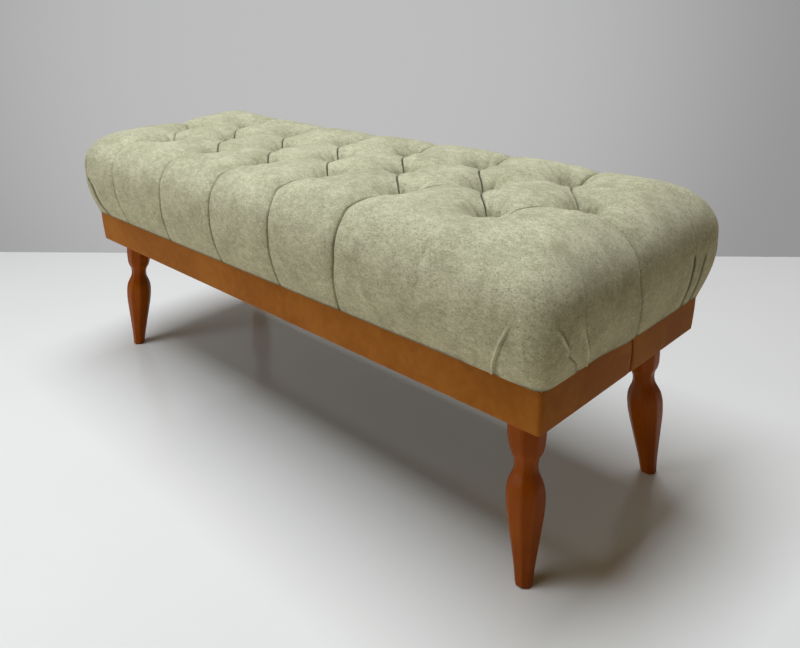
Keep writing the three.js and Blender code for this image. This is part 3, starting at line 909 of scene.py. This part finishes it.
# Apron band: a thin skin round the rails, rounded at its edges, with one seam
skin_thickness = 1.6 * MM
band_edge_round = 2.2 * MM
band_corner_radius = 6 * MM
band_puff = 0.6 * MM
band_hem = 10 * MM
seam_place = 7 * MM
seam_bow = 7 * MM
seam_width = 2.1 * MM
seam_depth = 1.6 * MM
seam_roll_width = 5 * MM
seam_roll_depth = 0.7 * MM
seam_bow_share = 0.8
seam_spot_share = 0.52
seam_crowd_share = 0.05
seam_gain = 8
end_facing_share = 0.99
least_radius = 1 * MM
band_rows = 26
band_round_steps = 6
band_side_steps = 70
band_end_steps = 90
band_arc_steps = 10


def ring_spots():
    """Outline spots round the apron, close together in the arcs and at the seam."""
    side = np.linspace(0, 1, band_side_steps + 1)[:-1]
    arc = np.linspace(0, 1, band_arc_steps + 1)[:-1]
    end = crowded(band_end_steps, (seam_spot_share,), seam_crowd_share, seam_gain)[:-1]
    plain_end = np.linspace(0, 1, band_end_steps // 3 + 1)[:-1]
    return np.concatenate([side, 1 + arc, 2 + end, 3 + arc, 4 + side, 5 + arc,
                           6 + plain_end, 7 + arc])


def band_profile():
    """The skin's cross-section as inward offsets and levels, once round.

    The face bulges as a half sine between two quarter rounds, the hem turns under the rails,
    and the inner line follows the face one thickness in.
    """
    rise = np.linspace(0, 1, band_rows)
    turn = np.linspace(0, np.pi / 2, band_round_steps + 1)
    bottom_in = band_edge_round * (1 - np.sin(turn))
    bottom_up = band_edge_round * (1 - np.cos(turn))
    face_low, face_high = apron_bottom + band_edge_round, apron_top - band_edge_round
    face_in = -band_puff * np.sin(np.pi * rise)
    inner = skin_thickness
    insets = np.concatenate([[band_hem], bottom_in[:-1], face_in, bottom_in[::-1][1:],
                             [inner, inner, band_hem]])
    levels = np.concatenate([[apron_bottom], apron_bottom + bottom_up[:-1],
                             between(face_low, face_high, rise),
                             apron_top - bottom_up[::-1][1:],
                             [apron_top, apron_bottom + inner, apron_bottom + inner]])
    return insets, levels


def closed_ring(values):
    """The grid with its first column and then its first row repeated at the end."""
    values = np.concatenate([values, values[:, :1]], axis=1)
    return np.concatenate([values, values[:1]], axis=0)


def make_band():
    """The apron's skin, its profile carried round a rounded rectangle.

    At the seam the skin sinks in a narrow groove with rolled edges, along a bowed line.
    """
    insets, levels = band_profile()
    spots = ring_spots()
    spot, inset = np.broadcast_arrays(spots[None, :], insets[:, None])
    radius = np.maximum(band_corner_radius - inset, least_radius)
    place, outward = outline(spot, half_length - inset, half_depth - inset, radius)
    share = (levels - apron_bottom) / (apron_top - apron_bottom)
    line = seam_place + seam_bow * np.sin(np.pi * (1 - share) * seam_bow_share)
    away = np.where(place[..., 0] > 0, place[..., 1] - line[:, None], half_length)
    at_end = (outward[..., 0] > end_facing_share) & (inset < skin_thickness)
    groove = seam_depth * np.exp(-(away / seam_width) ** 2)
    groove = groove + seam_roll_depth * np.exp(-(away / seam_roll_width) ** 2)
    place = place - outward * (groove * at_end)[..., None]
    level = np.broadcast_to(levels[:, None, None], place.shape[:2] + (1,))
    points = closed_ring(np.concatenate([place, level], axis=-1))
    crease = closed_ring(np.exp(-(away / seam_width) ** 2) * at_end)
    faces = grid_faces(*points.shape[:2], False)
    return new_piece("apron_wrap", points.reshape(-1, 3), faces, crease.ravel())


band = make_band()
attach(band, "root")
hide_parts("apron_band")

# Legs: soft eight-sided balusters that lean outwards
leg_splay = math.radians(8.4)
foot_inset = 26 * MM
foot_width = 23 * MM
bulb_width = 48.6 * MM
neck_width = 29.4 * MM
head_width = 45.5 * MM
leg_sides = 8
edge_softness_power = 34
foot_round = 3 * MM
foot_sole_share = 0.6
foot_round_share = 0.8
foot_level_power = 8
bore_radius = 4.4 * MM
leg_rings = 130
leg_columns = 96
top_radius = head_width / 2 / math.cos(math.pi / leg_sides)
leg_top_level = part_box("leg_front_left")[1].z - top_radius * math.sin(leg_splay)
leg_length = leg_top_level / math.cos(leg_splay)
bore_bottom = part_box("leg_bolt_front_left")[0].z / math.cos(leg_splay)

# The leg's outline: shares of its length, each with a width
taper_shares = ((0.02, 0), (0.09, 0.12), (0.16, 0.285), (0.247, 0.51), (0.339, 0.75),
                (0.41, 0.92), (0.48, 1))
neck_shares = ((0.533, 0.943), (0.572, 0.73), (0.597, 0.474), (0.62, 0.19), (0.645, 0.02))
head_shares = ((0.681, 0.02), (0.704, 0.19), (0.723, 0.52), (0.75, 0.8), (0.795, 1), (1, 1))


def leg_outline():
    """Places along the leg and half widths there, from the foot to the head."""
    spots = [(at, between(foot_width, bulb_width, share)) for at, share in taper_shares]
    spots += [(at, between(neck_width, bulb_width, share)) for at, share in neck_shares]
    spots += [(at, between(neck_width, head_width, share)) for at, share in head_shares]
    at, width = np.array(spots).T
    return at, width / 2


def smooth_curve(x, knots, values):
    """A cubic through the knots, with the slope at each from its two neighbours."""
    slope = np.gradient(values, knots)
    slope = np.where(np.abs(np.gradient(values)) < least_slope, 0, slope)
    index = np.clip(np.searchsorted(knots, x) - 1, 0, len(knots) - 2)
    width = knots[index + 1] - knots[index]
    t = np.clip((x - knots[index]) / width, 0, 1)
    low, high = values[index], values[index + 1]
    start, end = slope[index] * width, slope[index + 1] * width
    return ((2 * t**3 - 3 * t**2 + 1) * low + (t**3 - 2 * t**2 + t) * start
            + (3 * t**2 - 2 * t**3) * high + (t**3 - t**2) * end)


def section(angle):
    """Radius of a soft octagon with flats a distance of 1 away.

    Each flat counts with a high power of the cosine from its normal, so the edges are round.
    """
    normals = np.arange(leg_sides) * TWO_PI / leg_sides
    facing = np.maximum(np.cos(angle[..., None] - normals), 0)
    return np.sum(facing**edge_softness_power, axis=-1) ** (-1 / edge_softness_power)


def leg_rows(angle):
    """Radius and height along the axis of a leg's rings: sole, outline, then the bolt's bore."""
    at, half_width = leg_outline()
    share = np.linspace(0, 1, leg_rings)[:, None]
    up = share * leg_length + 0 * angle
    close = np.clip(1 - up / foot_round, 0, 1)
    radius = smooth_curve(share, at, half_width) * section(angle)
    radius = radius - foot_round_share * foot_round * (1 - np.sqrt(1 - close**2))
    sole = radius[:1] * np.array([[0], [foot_sole_share]])
    bore = np.array([[bore_radius], [bore_radius], [0]]) + 0 * angle
    bore_up = np.array([[leg_length], [bore_bottom], [bore_bottom]]) + 0 * angle
    return np.concatenate([sole, radius, bore]), np.concatenate([0 * sole, up, bore_up])


def leg_surface(side, row):
    """A leg in its place: its axis leans from the foot inwards to the top.

    A point at a distance from the axis and a height along it turns with the axis, and the
    lowest rings are drawn level with the floor.
    """
    angle = np.linspace(0, TWO_PI, leg_columns + 1)[None, :]
    radius, height = leg_rows(angle)
    lean = np.array([-side, -row]) / math.sqrt(2)
    x, y = radius * np.cos(angle), radius * np.sin(angle)
    along = x * lean[0] + y * lean[1]
    near_foot = (1 - np.minimum(height / leg_length, 1)) ** foot_level_power
    height = height + along * math.tan(leg_splay) * near_foot
    shift = along * math.cos(leg_splay) + height * math.sin(leg_splay) - along
    level = height * math.cos(leg_splay) - along * math.sin(leg_splay)
    foot = np.array([side * (half_length - foot_inset), row * (half_depth - foot_inset)])
    return np.stack([foot[0] + x + shift * lean[0], foot[1] + y + shift * lean[1],
                     np.maximum(level, 0)], axis=-1)


corners = {"front_left": (-1, -1), "front_right": (1, -1), "back_left": (-1, 1),
           "back_right": (1, 1)}


def make_leg(corner):
    """One leg as a closed surface."""
    points = leg_surface(*corners[corner])
    faces = grid_faces(*points.shape[:2], False)
    leg = new_piece("turned_leg_" + corner, points.reshape(-1, 3), faces)
    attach(leg, "root")
    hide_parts("leg_" + corner)
    return leg


legs = [make_leg(corner) for corner in corners]

# Dust cloth and its staples
cloth_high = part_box("dust_cover")[1]
cloth_thickness = 0.6 * MM
cloth_sag = 3 * MM
cloth_sag_power = 3
cloth_pucker = 0.5 * MM
cloth_pucker_powers = (10, 6)
cloth_strip_rows = 20
cloth_columns = 160
staple_pitch = 62 * MM
staple_length = 10 * MM
staple_wire = 0.55 * MM
staple_inset = 6 * MM
staple_rise = 0.4 * MM
staple_end_power = 12
staple_arch_power = 8
staple_rows = 14
staple_columns = 8
leg_clearance = 3 * MM
leg_top_inset = foot_inset + leg_top_level * math.tan(leg_splay) / math.sqrt(2)
cloth_edge_inset = half_length - cloth_high.x
corner_cut = 2 * (leg_top_inset - cloth_edge_inset) + math.sqrt(2) * (top_radius + leg_clearance)


def make_dust_cloth():
    """The black cloth under the rails: a cut-off rectangle that sags as a product of cosines."""
    straight = cloth_high.y - corner_cut
    borders = (-cloth_high.y, -straight, straight, cloth_high.y)
    strips = [np.linspace(*ends, cloth_strip_rows) for ends in zip(borders, borders[1:])]
    y = np.unique(np.concatenate(strips))[:, None]
    limit = cloth_high.x - np.maximum(np.abs(y) - straight, 0)
    x = limit * np.linspace(-1, 1, cloth_columns + 1)[None, :]
    y = y + 0 * x
    edge_x, edge_y = np.abs(x) / cloth_high.x, np.abs(y) / cloth_high.y
    middle = (np.cos(edge_x**cloth_sag_power * np.pi / 2)
              * np.cos(edge_y**cloth_sag_power * np.pi / 2))
    ripple = np.cos(x * TWO_PI / staple_pitch) * edge_y ** cloth_pucker_powers[1]
    ripple = ripple + np.cos(y * TWO_PI / staple_pitch) * edge_x ** cloth_pucker_powers[0]
    level = cloth_high.z - cloth_thickness - cloth_sag * middle
    level = level - cloth_pucker * (1 - ripple) * (1 - middle)
    points = np.stack([x, y, level], axis=-1)
    cloth = new_piece("dust_cloth", points.reshape(-1, 3), grid_faces(*x.shape, True))
    thick = cloth.modifiers.new("thickness", "SOLIDIFY")
    thick.thickness = cloth_thickness
    thick.offset = -1
    return cloth


def staple_places():
    """Middles of the staples and their directions, evenly along the cloth's straight edges."""
    rows = []
    for edge in (-1, 1):
        for axis in (0, 1):
            run = cloth_high[axis] - corner_cut
            along = np.linspace(-run, run, int(round(2 * run / staple_pitch)))
            places = np.zeros((len(along), 4))
            places[:, axis] = along
            places[:, 1 - axis] = edge * (cloth_high[1 - axis] - staple_inset)
            places[:, 2 + axis] = 1
            rows.append(places)
    return np.concatenate(rows)


def make_staples():
    """All the staples as one piece: each a round wire along a flat arch that dips at its ends."""
    turn = np.linspace(0, TWO_PI, staple_columns + 1)[None, :]
    run = np.linspace(-1, 1, staple_rows + 1)[:, None]
    thick = staple_wire * np.sqrt(np.maximum(1 - np.abs(run) ** staple_end_power, 0))
    along = run * staple_length / 2 + 0 * turn
    side = thick * np.cos(turn)
    down = thick * np.sin(turn) + staple_rise * (1 - run**staple_arch_power)
    base = cloth_high.z - cloth_thickness
    grids = []
    for x, y, way_x, way_y in staple_places():
        points = np.stack([x + along * way_x - side * way_y, y + along * way_y + side * way_x,
                           base - down], axis=-1)
        grids.append((points, False))
    points, faces = joined(grids)
    return new_piece("dust_cloth_staples", points, faces)


dust_cloth = make_dust_cloth()
staples = make_staples()
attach(dust_cloth, "root")
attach(staples, "root")
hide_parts("dust_cover")
cloth_size = (2 * cloth_high.x, 2 * cloth_high.y)
cloth_size[0] * cloth_size[1] - 2 * corner_cut**2

# Camera at the photograph's place
camera_target_height = 229.17 * MM
camera_distance = 1386.49 * MM
camera_azimuth = math.radians(48.517)
camera_elevation = math.radians(22.788)
camera_roll = math.radians(-2.875)
camera_lens = 34.0226
camera_sensor = 36.0
camera_near = 10 * MM
camera_shift_shares = (0.07013, -0.04612)


def make_camera():
    """The camera, turned about the target, then rolled about its own axis."""
    back = np.array([
        math.sin(camera_azimuth) * math.cos(camera_elevation),
        -math.cos(camera_azimuth) * math.cos(camera_elevation),
        math.sin(camera_elevation),
    ])
    level_right = unit(np.cross(-back, [0.0, 0.0, 1.0]))
    level_up = np.cross(level_right, -back)
    right = level_right * math.cos(camera_roll) + level_up * math.sin(camera_roll)
    up = level_up * math.cos(camera_roll) - level_right * math.sin(camera_roll)
    matrix = np.eye(4)
    matrix[:3, 0], matrix[:3, 1], matrix[:3, 2] = right, up, back
    matrix[:3, 3] = np.array([0.0, 0.0, camera_target_height]) + back * camera_distance
    data = bpy.data.cameras.new("camera")
    data.lens = camera_lens
    data.sensor_width = camera_sensor
    data.shift_x, data.shift_y = camera_shift_shares
    data.clip_start = camera_near
    camera = bpy.data.objects.new("camera", data)
    camera.matrix_world = Matrix(matrix.tolist())
    bpy.context.scene.collection.objects.link(camera)
    bpy.context.scene.camera = camera


make_camera()
bpy.context.scene.view_settings.view_transform = "Standard"


class Signal:
    """A shader socket that takes part in Python sums by adding Math nodes."""

    def __init__(self, shader, socket):
        self.shader = shader
        self.socket = socket

    def combine(self, operation, first, second):
        inputs = {0: first, 1: second}
        return self.shader.node("Math", {"operation": operation}, inputs)

    def __add__(self, other):
        return self.combine("ADD", self, other)

    def __radd__(self, other):
        return self.combine("ADD", other, self)

    def __mul__(self, other):
        return self.combine("MULTIPLY", self, other)

    def __rmul__(self, other):
        return self.combine("MULTIPLY", other, self)


class Shader:
    """A node tree with one method that makes any node."""

    def __init__(self, tree):
        self.tree = tree
        tree.nodes.clear()

    def node(self, kind, settings=None, inputs=None, output=0):
        """Makes a node, sets it up, feeds its sockets and gives one of its outputs."""
        made = self.tree.nodes.new("ShaderNode" + kind)
        for name, value in (settings or {}).items():
            setattr(made, name, value)
        for key, value in (inputs or {}).items():
            self.feed(made.inputs[key], value)
        return Signal(self, made.outputs[output]) if made.outputs else None

    def feed(self, socket, value):
        """Links a signal to a socket, or sets the socket's own value."""
        if isinstance(value, Signal):
            self.tree.links.new(value.socket, socket)
        else:
            socket.default_value = value

    def place(self, scale=(1.0, 1.0, 1.0), turn=(0.0, 0.0, 0.0)):
        """Object coordinates, scaled along each axis and turned."""
        inputs = {"Vector": self.node("TexCoord", output="Object"), "Scale": scale,
                  "Rotation": turn}
        return self.node("Mapping", None, inputs)

    def noise(self, scale, detail=2.0, roughness=0.5, at=None, distortion=0.0):
        """Noise from about 0 to 1, with its scale in features per metre."""
        inputs = {"Scale": scale, "Detail": detail, "Roughness": roughness,
                  "Distortion": distortion, "Vector": at or self.place()}
        return self.node("TexNoise", None, inputs)

    def cells(self, scale):
        """Distance to the nearest of scattered points, as a share of their spacing."""
        return self.node("TexVoronoi", None, {"Scale": scale, "Vector": self.place()})

    def waves(self, scale, distortion, at, detail=2.0):
        """Bands across X, for grain and weave."""
        inputs = {"Scale": scale, "Distortion": distortion, "Detail": detail, "Vector": at}
        return self.node("TexWave", {"bands_direction": "X"}, inputs)

    def band(self, value, low, high):
        """A smooth rise from 0 at low to 1 at high."""
        inputs = {"Value": value, "From Min": low, "From Max": high}
        return self.node("MapRange", {"interpolation_type": "SMOOTHSTEP"}, inputs)

    def seen(self):
        """1 where the camera sees this straight on, in a gloss or through glass, else 0."""
        path = [self.node("LightPath", output=name)
                for name in ("Is Camera Ray", "Is Glossy Ray", "Is Transmission Ray")]
        return self.band(path[0] + path[1] + path[2], 0.0, 1.0)

    def attribute(self, name):
        """A number kept on the mesh."""
        return self.node("Attribute", {"attribute_name": name}, output="Fac")

    def mix(self, factor, first, second):
        """A colour between two others."""
        inputs = {0: factor, 6: first, 7: second}
        return self.node("Mix", {"data_type": "RGBA"}, inputs, output=2)

    def bump(self, height, distance, strength):
        """A normal from a height signal, with the height of 1 in metres."""
        inputs = {"Height": height, "Distance": distance, "Strength": strength}
        return self.node("Bump", None, inputs)

    def surface(self, **inputs):
        """The finished surface. Underscores in the names stand for spaces."""
        named = {name.replace("_", " "): value for name, value in inputs.items()}
        principled = self.node("BsdfPrincipled", None, named)
        self.node("OutputMaterial", None, {"Surface": principled})


def new_shader(name):
    """A new material and its shader."""
    material = bpy.data.materials.new(name)
    material.use_nodes = True
    return material, Shader(material.node_tree)


def colour(red, green, blue):
    """A colour with its alpha."""
    return red, green, blue, 1.0


# Depths of the finishes' reliefs
pile_depth = 1.0 * MM
pebble_depth = 0.25 * MM
streak_depth = 0.15 * MM
pore_depth = 0.3 * MM
dot_depth = 0.3 * MM
scratch_depth = 0.05 * MM
twist_depth = 0.3 * MM


def sage_chenille():
    """Heathered sage pile: fine flecks of light and dark yarn, soft blotches and a nap.

    The fold attribute paints shade into slits, pits and the lip above 0, and paints a highlight
    on the crests of creases below 0.
    """
    material, shader = new_shader("sage_chenille")
    yarns = shader.place(scale=(0.6, 1.0, 1.0))
    blotch = shader.noise(24.0, 3.0, 0.6)
    cloud = shader.noise(150.0, 3.0, 0.6, at=yarns)
    fleck = shader.noise(520.0, 2.0, 0.6, at=yarns, distortion=0.4)
    fine = shader.noise(1000.0, 2.0, 0.6, at=yarns)
    tone = shader.band(blotch * 0.26 + cloud * 0.24 + fleck * 0.30 + fine * 0.20, 0.385, 0.635)
    shade = shader.mix(tone, colour(0.375, 0.385, 0.262), colour(0.635, 0.655, 0.485))
    dark = shader.band(fleck * 0.6 + fine * 0.4, 0.44, 0.34)
    shade = shader.mix(dark * 0.55, shade, colour(0.17, 0.17, 0.11))
    light = shader.band(fine * 0.6 + cloud * 0.4, 0.57, 0.68)
    shade = shader.mix(light * 0.4, shade, colour(0.78, 0.79, 0.63))
    fold = shader.attribute("fold")
    # Painted shade in slits, pits, gathers and along the lip
    shade = shader.mix(shader.band(fold, 0.0, 1.0) * 0.82, shade, colour(0.065, 0.053, 0.024))
    # Painted highlight on the crests of creases
    shade = shader.mix(shader.band(fold, 0.0, -1.1) * 0.5, shade, colour(0.80, 0.79, 0.62))
    height = cloud * 0.5 + fleck * 0.8 + fine * 0.4
    shader.surface(Base_Color=shade, Roughness=0.95, Sheen_Weight=0.12, Sheen_Roughness=0.6,
                   Specular_IOR_Level=0.12, Normal=shader.bump(height, pile_depth, 0.6))
    return material


def tan_leather():
    """Smooth brown leather: fine pebbles, soft cloudy tone and a dark seam."""
    material, shader = new_shader("tan_leather")
    cloud = shader.noise(9.0, 4.0, 0.6)
    spot = shader.noise(70.0, 4.0, 0.65)
    pebble = shader.cells(900.0)
    tone = shader.band(cloud * 0.6 + spot * 0.4, 0.35, 0.65)
    shade = shader.mix(tone, colour(0.32, 0.112, 0.018), colour(0.415, 0.160, 0.028))
    shade = shader.mix(shader.attribute("fold"), shade, colour(0.05, 0.006, 0.002))
    rough = 0.42 + spot * 0.16
    height = pebble * 0.5 + spot * 0.5
    shader.surface(Base_Color=shade, Roughness=rough, Specular_IOR_Level=0.03,
                   Normal=shader.bump(height, pebble_depth, 0.35))
    return material


def stained_wood():
    """Reddish brown lacquered wood, with long grain up the leg."""
    material, shader = new_shader("stained_wood")
    grain_at = shader.place(scale=(1.0, 1.0, 0.08))
    rings = shader.waves(60.0, 5.0, grain_at, detail=3.0)
    streak = shader.noise(260.0, 4.0, 0.6, at=grain_at, distortion=0.3)
    cloud = shader.noise(16.0, 3.0, 0.55)
    tone = shader.band(rings * 0.08 + streak * 0.32 + cloud * 0.6, 0.30, 0.75)
    shade = shader.mix(tone, colour(0.28, 0.059, 0.0006), colour(0.375, 0.092, 0.0012))
    rough = 0.34 + streak * 0.12
    shader.surface(Base_Color=shade, Roughness=rough, Specular_IOR_Level=0.10,
                   Coat_Weight=0.04, Coat_Roughness=0.2,
                   Normal=shader.bump(streak, streak_depth, 0.3))
    return material


def planed_wood(name, along, low, high):
    """Bare wood with growth lines and fine pores along one axis."""
    material, shader = new_shader(name)
    scale = tuple(0.05 if axis == along else 1.0 for axis in range(3))
    grain_at = shader.place(scale=scale, turn=(0.0, 0.0, 0.1))
    rings = shader.noise(90.0, 3.0, 0.5, at=grain_at, distortion=1.2)
    pores = shader.noise(700.0, 2.0, 0.6, at=grain_at)
    tone = shader.band(rings * 0.7 + pores * 0.3, 0.38, 0.64)
    shade = shader.mix(tone, low, high)
    shader.surface(Base_Color=shade, Roughness=0.72 + pores * 0.15, Specular_IOR_Level=0.3,
                   Normal=shader.bump(pores * 0.6 + rings * 0.4, pore_depth, 0.5))
    return material


def black_spunbond():
    """Thin black lining with a grid of pressed dots."""
    material, shader = new_shader("black_spunbond")
    dots = shader.cells(420.0)
    fibre = shader.noise(1400.0, 3.0, 0.6)
    shade = shader.mix(shader.band(fibre, 0.4, 0.7), colour(0.010, 0.010, 0.010),
                       colour(0.030, 0.030, 0.030))
    height = shader.band(dots, 0.2, 0.5) * 0.7 + fibre * 0.3
    shader.surface(Base_Color=shade, Roughness=0.9, Specular_IOR_Level=0.2,
                   Normal=shader.bump(height, dot_depth, 0.6))
    return material


def zinc():
    """Zinc plated steel with a faint crystal bloom and fine scratches."""
    material, shader = new_shader("zinc_plate")
    bloom = shader.cells(160.0)
    scratch = shader.noise(1800.0, 2.0, 0.6, at=shader.place(scale=(1.0, 0.1, 1.0)))
    shade = shader.mix(shader.band(bloom, 0.1, 0.7), colour(0.52, 0.53, 0.55),
                       colour(0.64, 0.65, 0.66))
    shader.surface(Base_Color=shade, Metallic=1.0, Roughness=0.30 + scratch * 0.2,
                   Normal=shader.bump(scratch, scratch_depth, 0.3))
    return material


def waxed_twine():
    """Sage waxed twine with a twist."""
    material, shader = new_shader("waxed_twine")
    twist = shader.waves(420.0, 1.0, shader.place(turn=(0.0, 0.8, 0.0)))
    shade = shader.mix(twist, colour(0.19, 0.185, 0.12), colour(0.34, 0.33, 0.22))
    shader.surface(Base_Color=shade, Roughness=0.6,
                   Normal=shader.bump(twist, twist_depth, 0.6))
    return material


def dress(piece, material):
    """Gives a piece one material."""
    piece.data.materials.clear()
    piece.data.materials.append(material)


leg_finish = stained_wood()
steel_finish = zinc()
twine_finish = waxed_twine()
pine = (colour(0.50, 0.33, 0.17), colour(0.66, 0.48, 0.28))
lengthwise_wood = planed_wood("rail_wood_lengthwise", 0, *pine)
crosswise_wood = planed_wood("rail_wood_crosswise", 1, *pine)
board_finish = planed_wood("birch_plywood", 0, colour(0.56, 0.40, 0.23),
                           colour(0.70, 0.53, 0.34))
finishes = (
    (("leg_insert", "leg_bolt", "wedge_screw"), steel_finish),
    (("tuft_tie",), twine_finish),
    (("seat_board",), board_finish),
    (("left_rail", "right_rail", "cross_rail", "leg_wedge"), crosswise_wood),
    (("front_rail", "back_rail", "corner_block"), lengthwise_wood),
)
for prefixes, finish in finishes:
    for name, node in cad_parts.items():
        if name.startswith(prefixes):
            dress(node, finish)
for leg in legs:
    dress(leg, leg_finish)
dress(cushion, sage_chenille())
dress(band, tan_leather())
dress(dust_cloth, black_spunbond())
dress(staples, steel_finish)

# Floor, lamp and studio wall
floor_half_size = 6000 * MM
wall_line_points = ((-1434.5 * MM, -160.3 * MM), (364.6 * MM, 1310.8 * MM))
key_place = (-300 * MM, -110 * MM, 3650 * MM)
lamp_target = (0.0, 0.0, 300 * MM)
key_size = (1440 * MM, 3045 * MM)
key_power = 119.0
fill_place = (-1100 * MM, -2200 * MM, 1000 * MM)
fill_size = (1200 * MM, 1200 * MM)
fill_power = 14.0
wall_bright_direction = (-0.747, 0.656, -0.105)
wall_band_shares = (0.83, 1.0)
room_light_strength = 0.09


def make_floor():
    """A pale satin floor whose far edge is the line where the photograph's wall begins.

    The light that it throws back onto the bench is dimmer and warmer than it looks itself.
    """
    start, end = (np.array(point) for point in wall_line_points)
    run = unit(end - start)
    toward = np.array([run[1], -run[0]])
    middle = (start + end) / 2
    left, right = middle - run * floor_half_size, middle + run * floor_half_size
    near = toward * 2 * floor_half_size
    mesh = bpy.data.meshes.new("floor")
    mesh.from_pydata([(x, y, 0.0) for x, y in (left, right, right + near, left + near)], [],
                     [(3, 2, 1, 0)])
    floor = bpy.data.objects.new("floor", mesh)
    bpy.context.scene.collection.objects.link(floor)
    material, shader = new_shader("pale_floor")
    shade = shader.mix(shader.noise(3.0, 3.0, 0.5), colour(0.84, 0.885, 0.92),
                       colour(0.885, 0.93, 0.965))
    shade = shader.mix(shader.seen(), colour(0.77, 0.70, 0.58), shade)
    shader.surface(Base_Color=shade, Roughness=0.13)
    dress(floor, material)


make_floor()


def make_lamp(name, place, size, power):
    """A large flat lamp that faces the bench."""
    data = bpy.data.lights.new(name, "AREA")
    data.shape = "RECTANGLE"
    data.size, data.size_y = size
    data.energy = power
    lamp = bpy.data.objects.new(name, data)
    away = unit(np.array(place) - np.array(lamp_target))
    right = unit(np.cross([0.0, 1.0, 0.0], away))
    matrix = np.eye(4)
    matrix[:3, 0], matrix[:3, 1], matrix[:3, 2] = right, np.cross(away, right), away
    matrix[:3, 3] = place
    lamp.matrix_world = Matrix(matrix.tolist())
    bpy.context.scene.collection.objects.link(lamp)


# The key hangs overhead, longer across the bench than along it, the fill to the front left
make_lamp("key_lamp", key_place, key_size, key_power)
make_lamp("fill_lamp", fill_place, fill_size, fill_power)


def make_world():
    """Dim warm light from all round, and a grey wall where the camera looks past the floor.

    The wall is brightest about one direction and falls off with the angle from it.
    """
    world = bpy.data.worlds.new("studio")
    bpy.context.scene.world = world
    world.use_nodes = True
    shader = Shader(world.node_tree)
    direction = shader.node("TexCoord", output="Generated")
    inputs = {0: direction, 1: tuple(unit(np.array(wall_bright_direction)))}
    near = shader.node("VectorMath", {"operation": "DOT_PRODUCT"}, inputs, output="Value")
    tone = shader.mix(shader.band(near, *wall_band_shares), colour(0.30, 0.30, 0.305),
                      colour(0.51, 0.51, 0.515))
    light = shader.node("Background", None, {"Color": colour(1.0, 0.68, 0.28),
                                             "Strength": room_light_strength})
    wall = shader.node("Background", None, {"Color": tone, "Strength": 1.0})
    mixed = shader.node("MixShader", None, {0: shader.seen(), 1: light, 2: wall})
    shader.node("OutputWorld", None, {"Surface": mixed})


make_world()
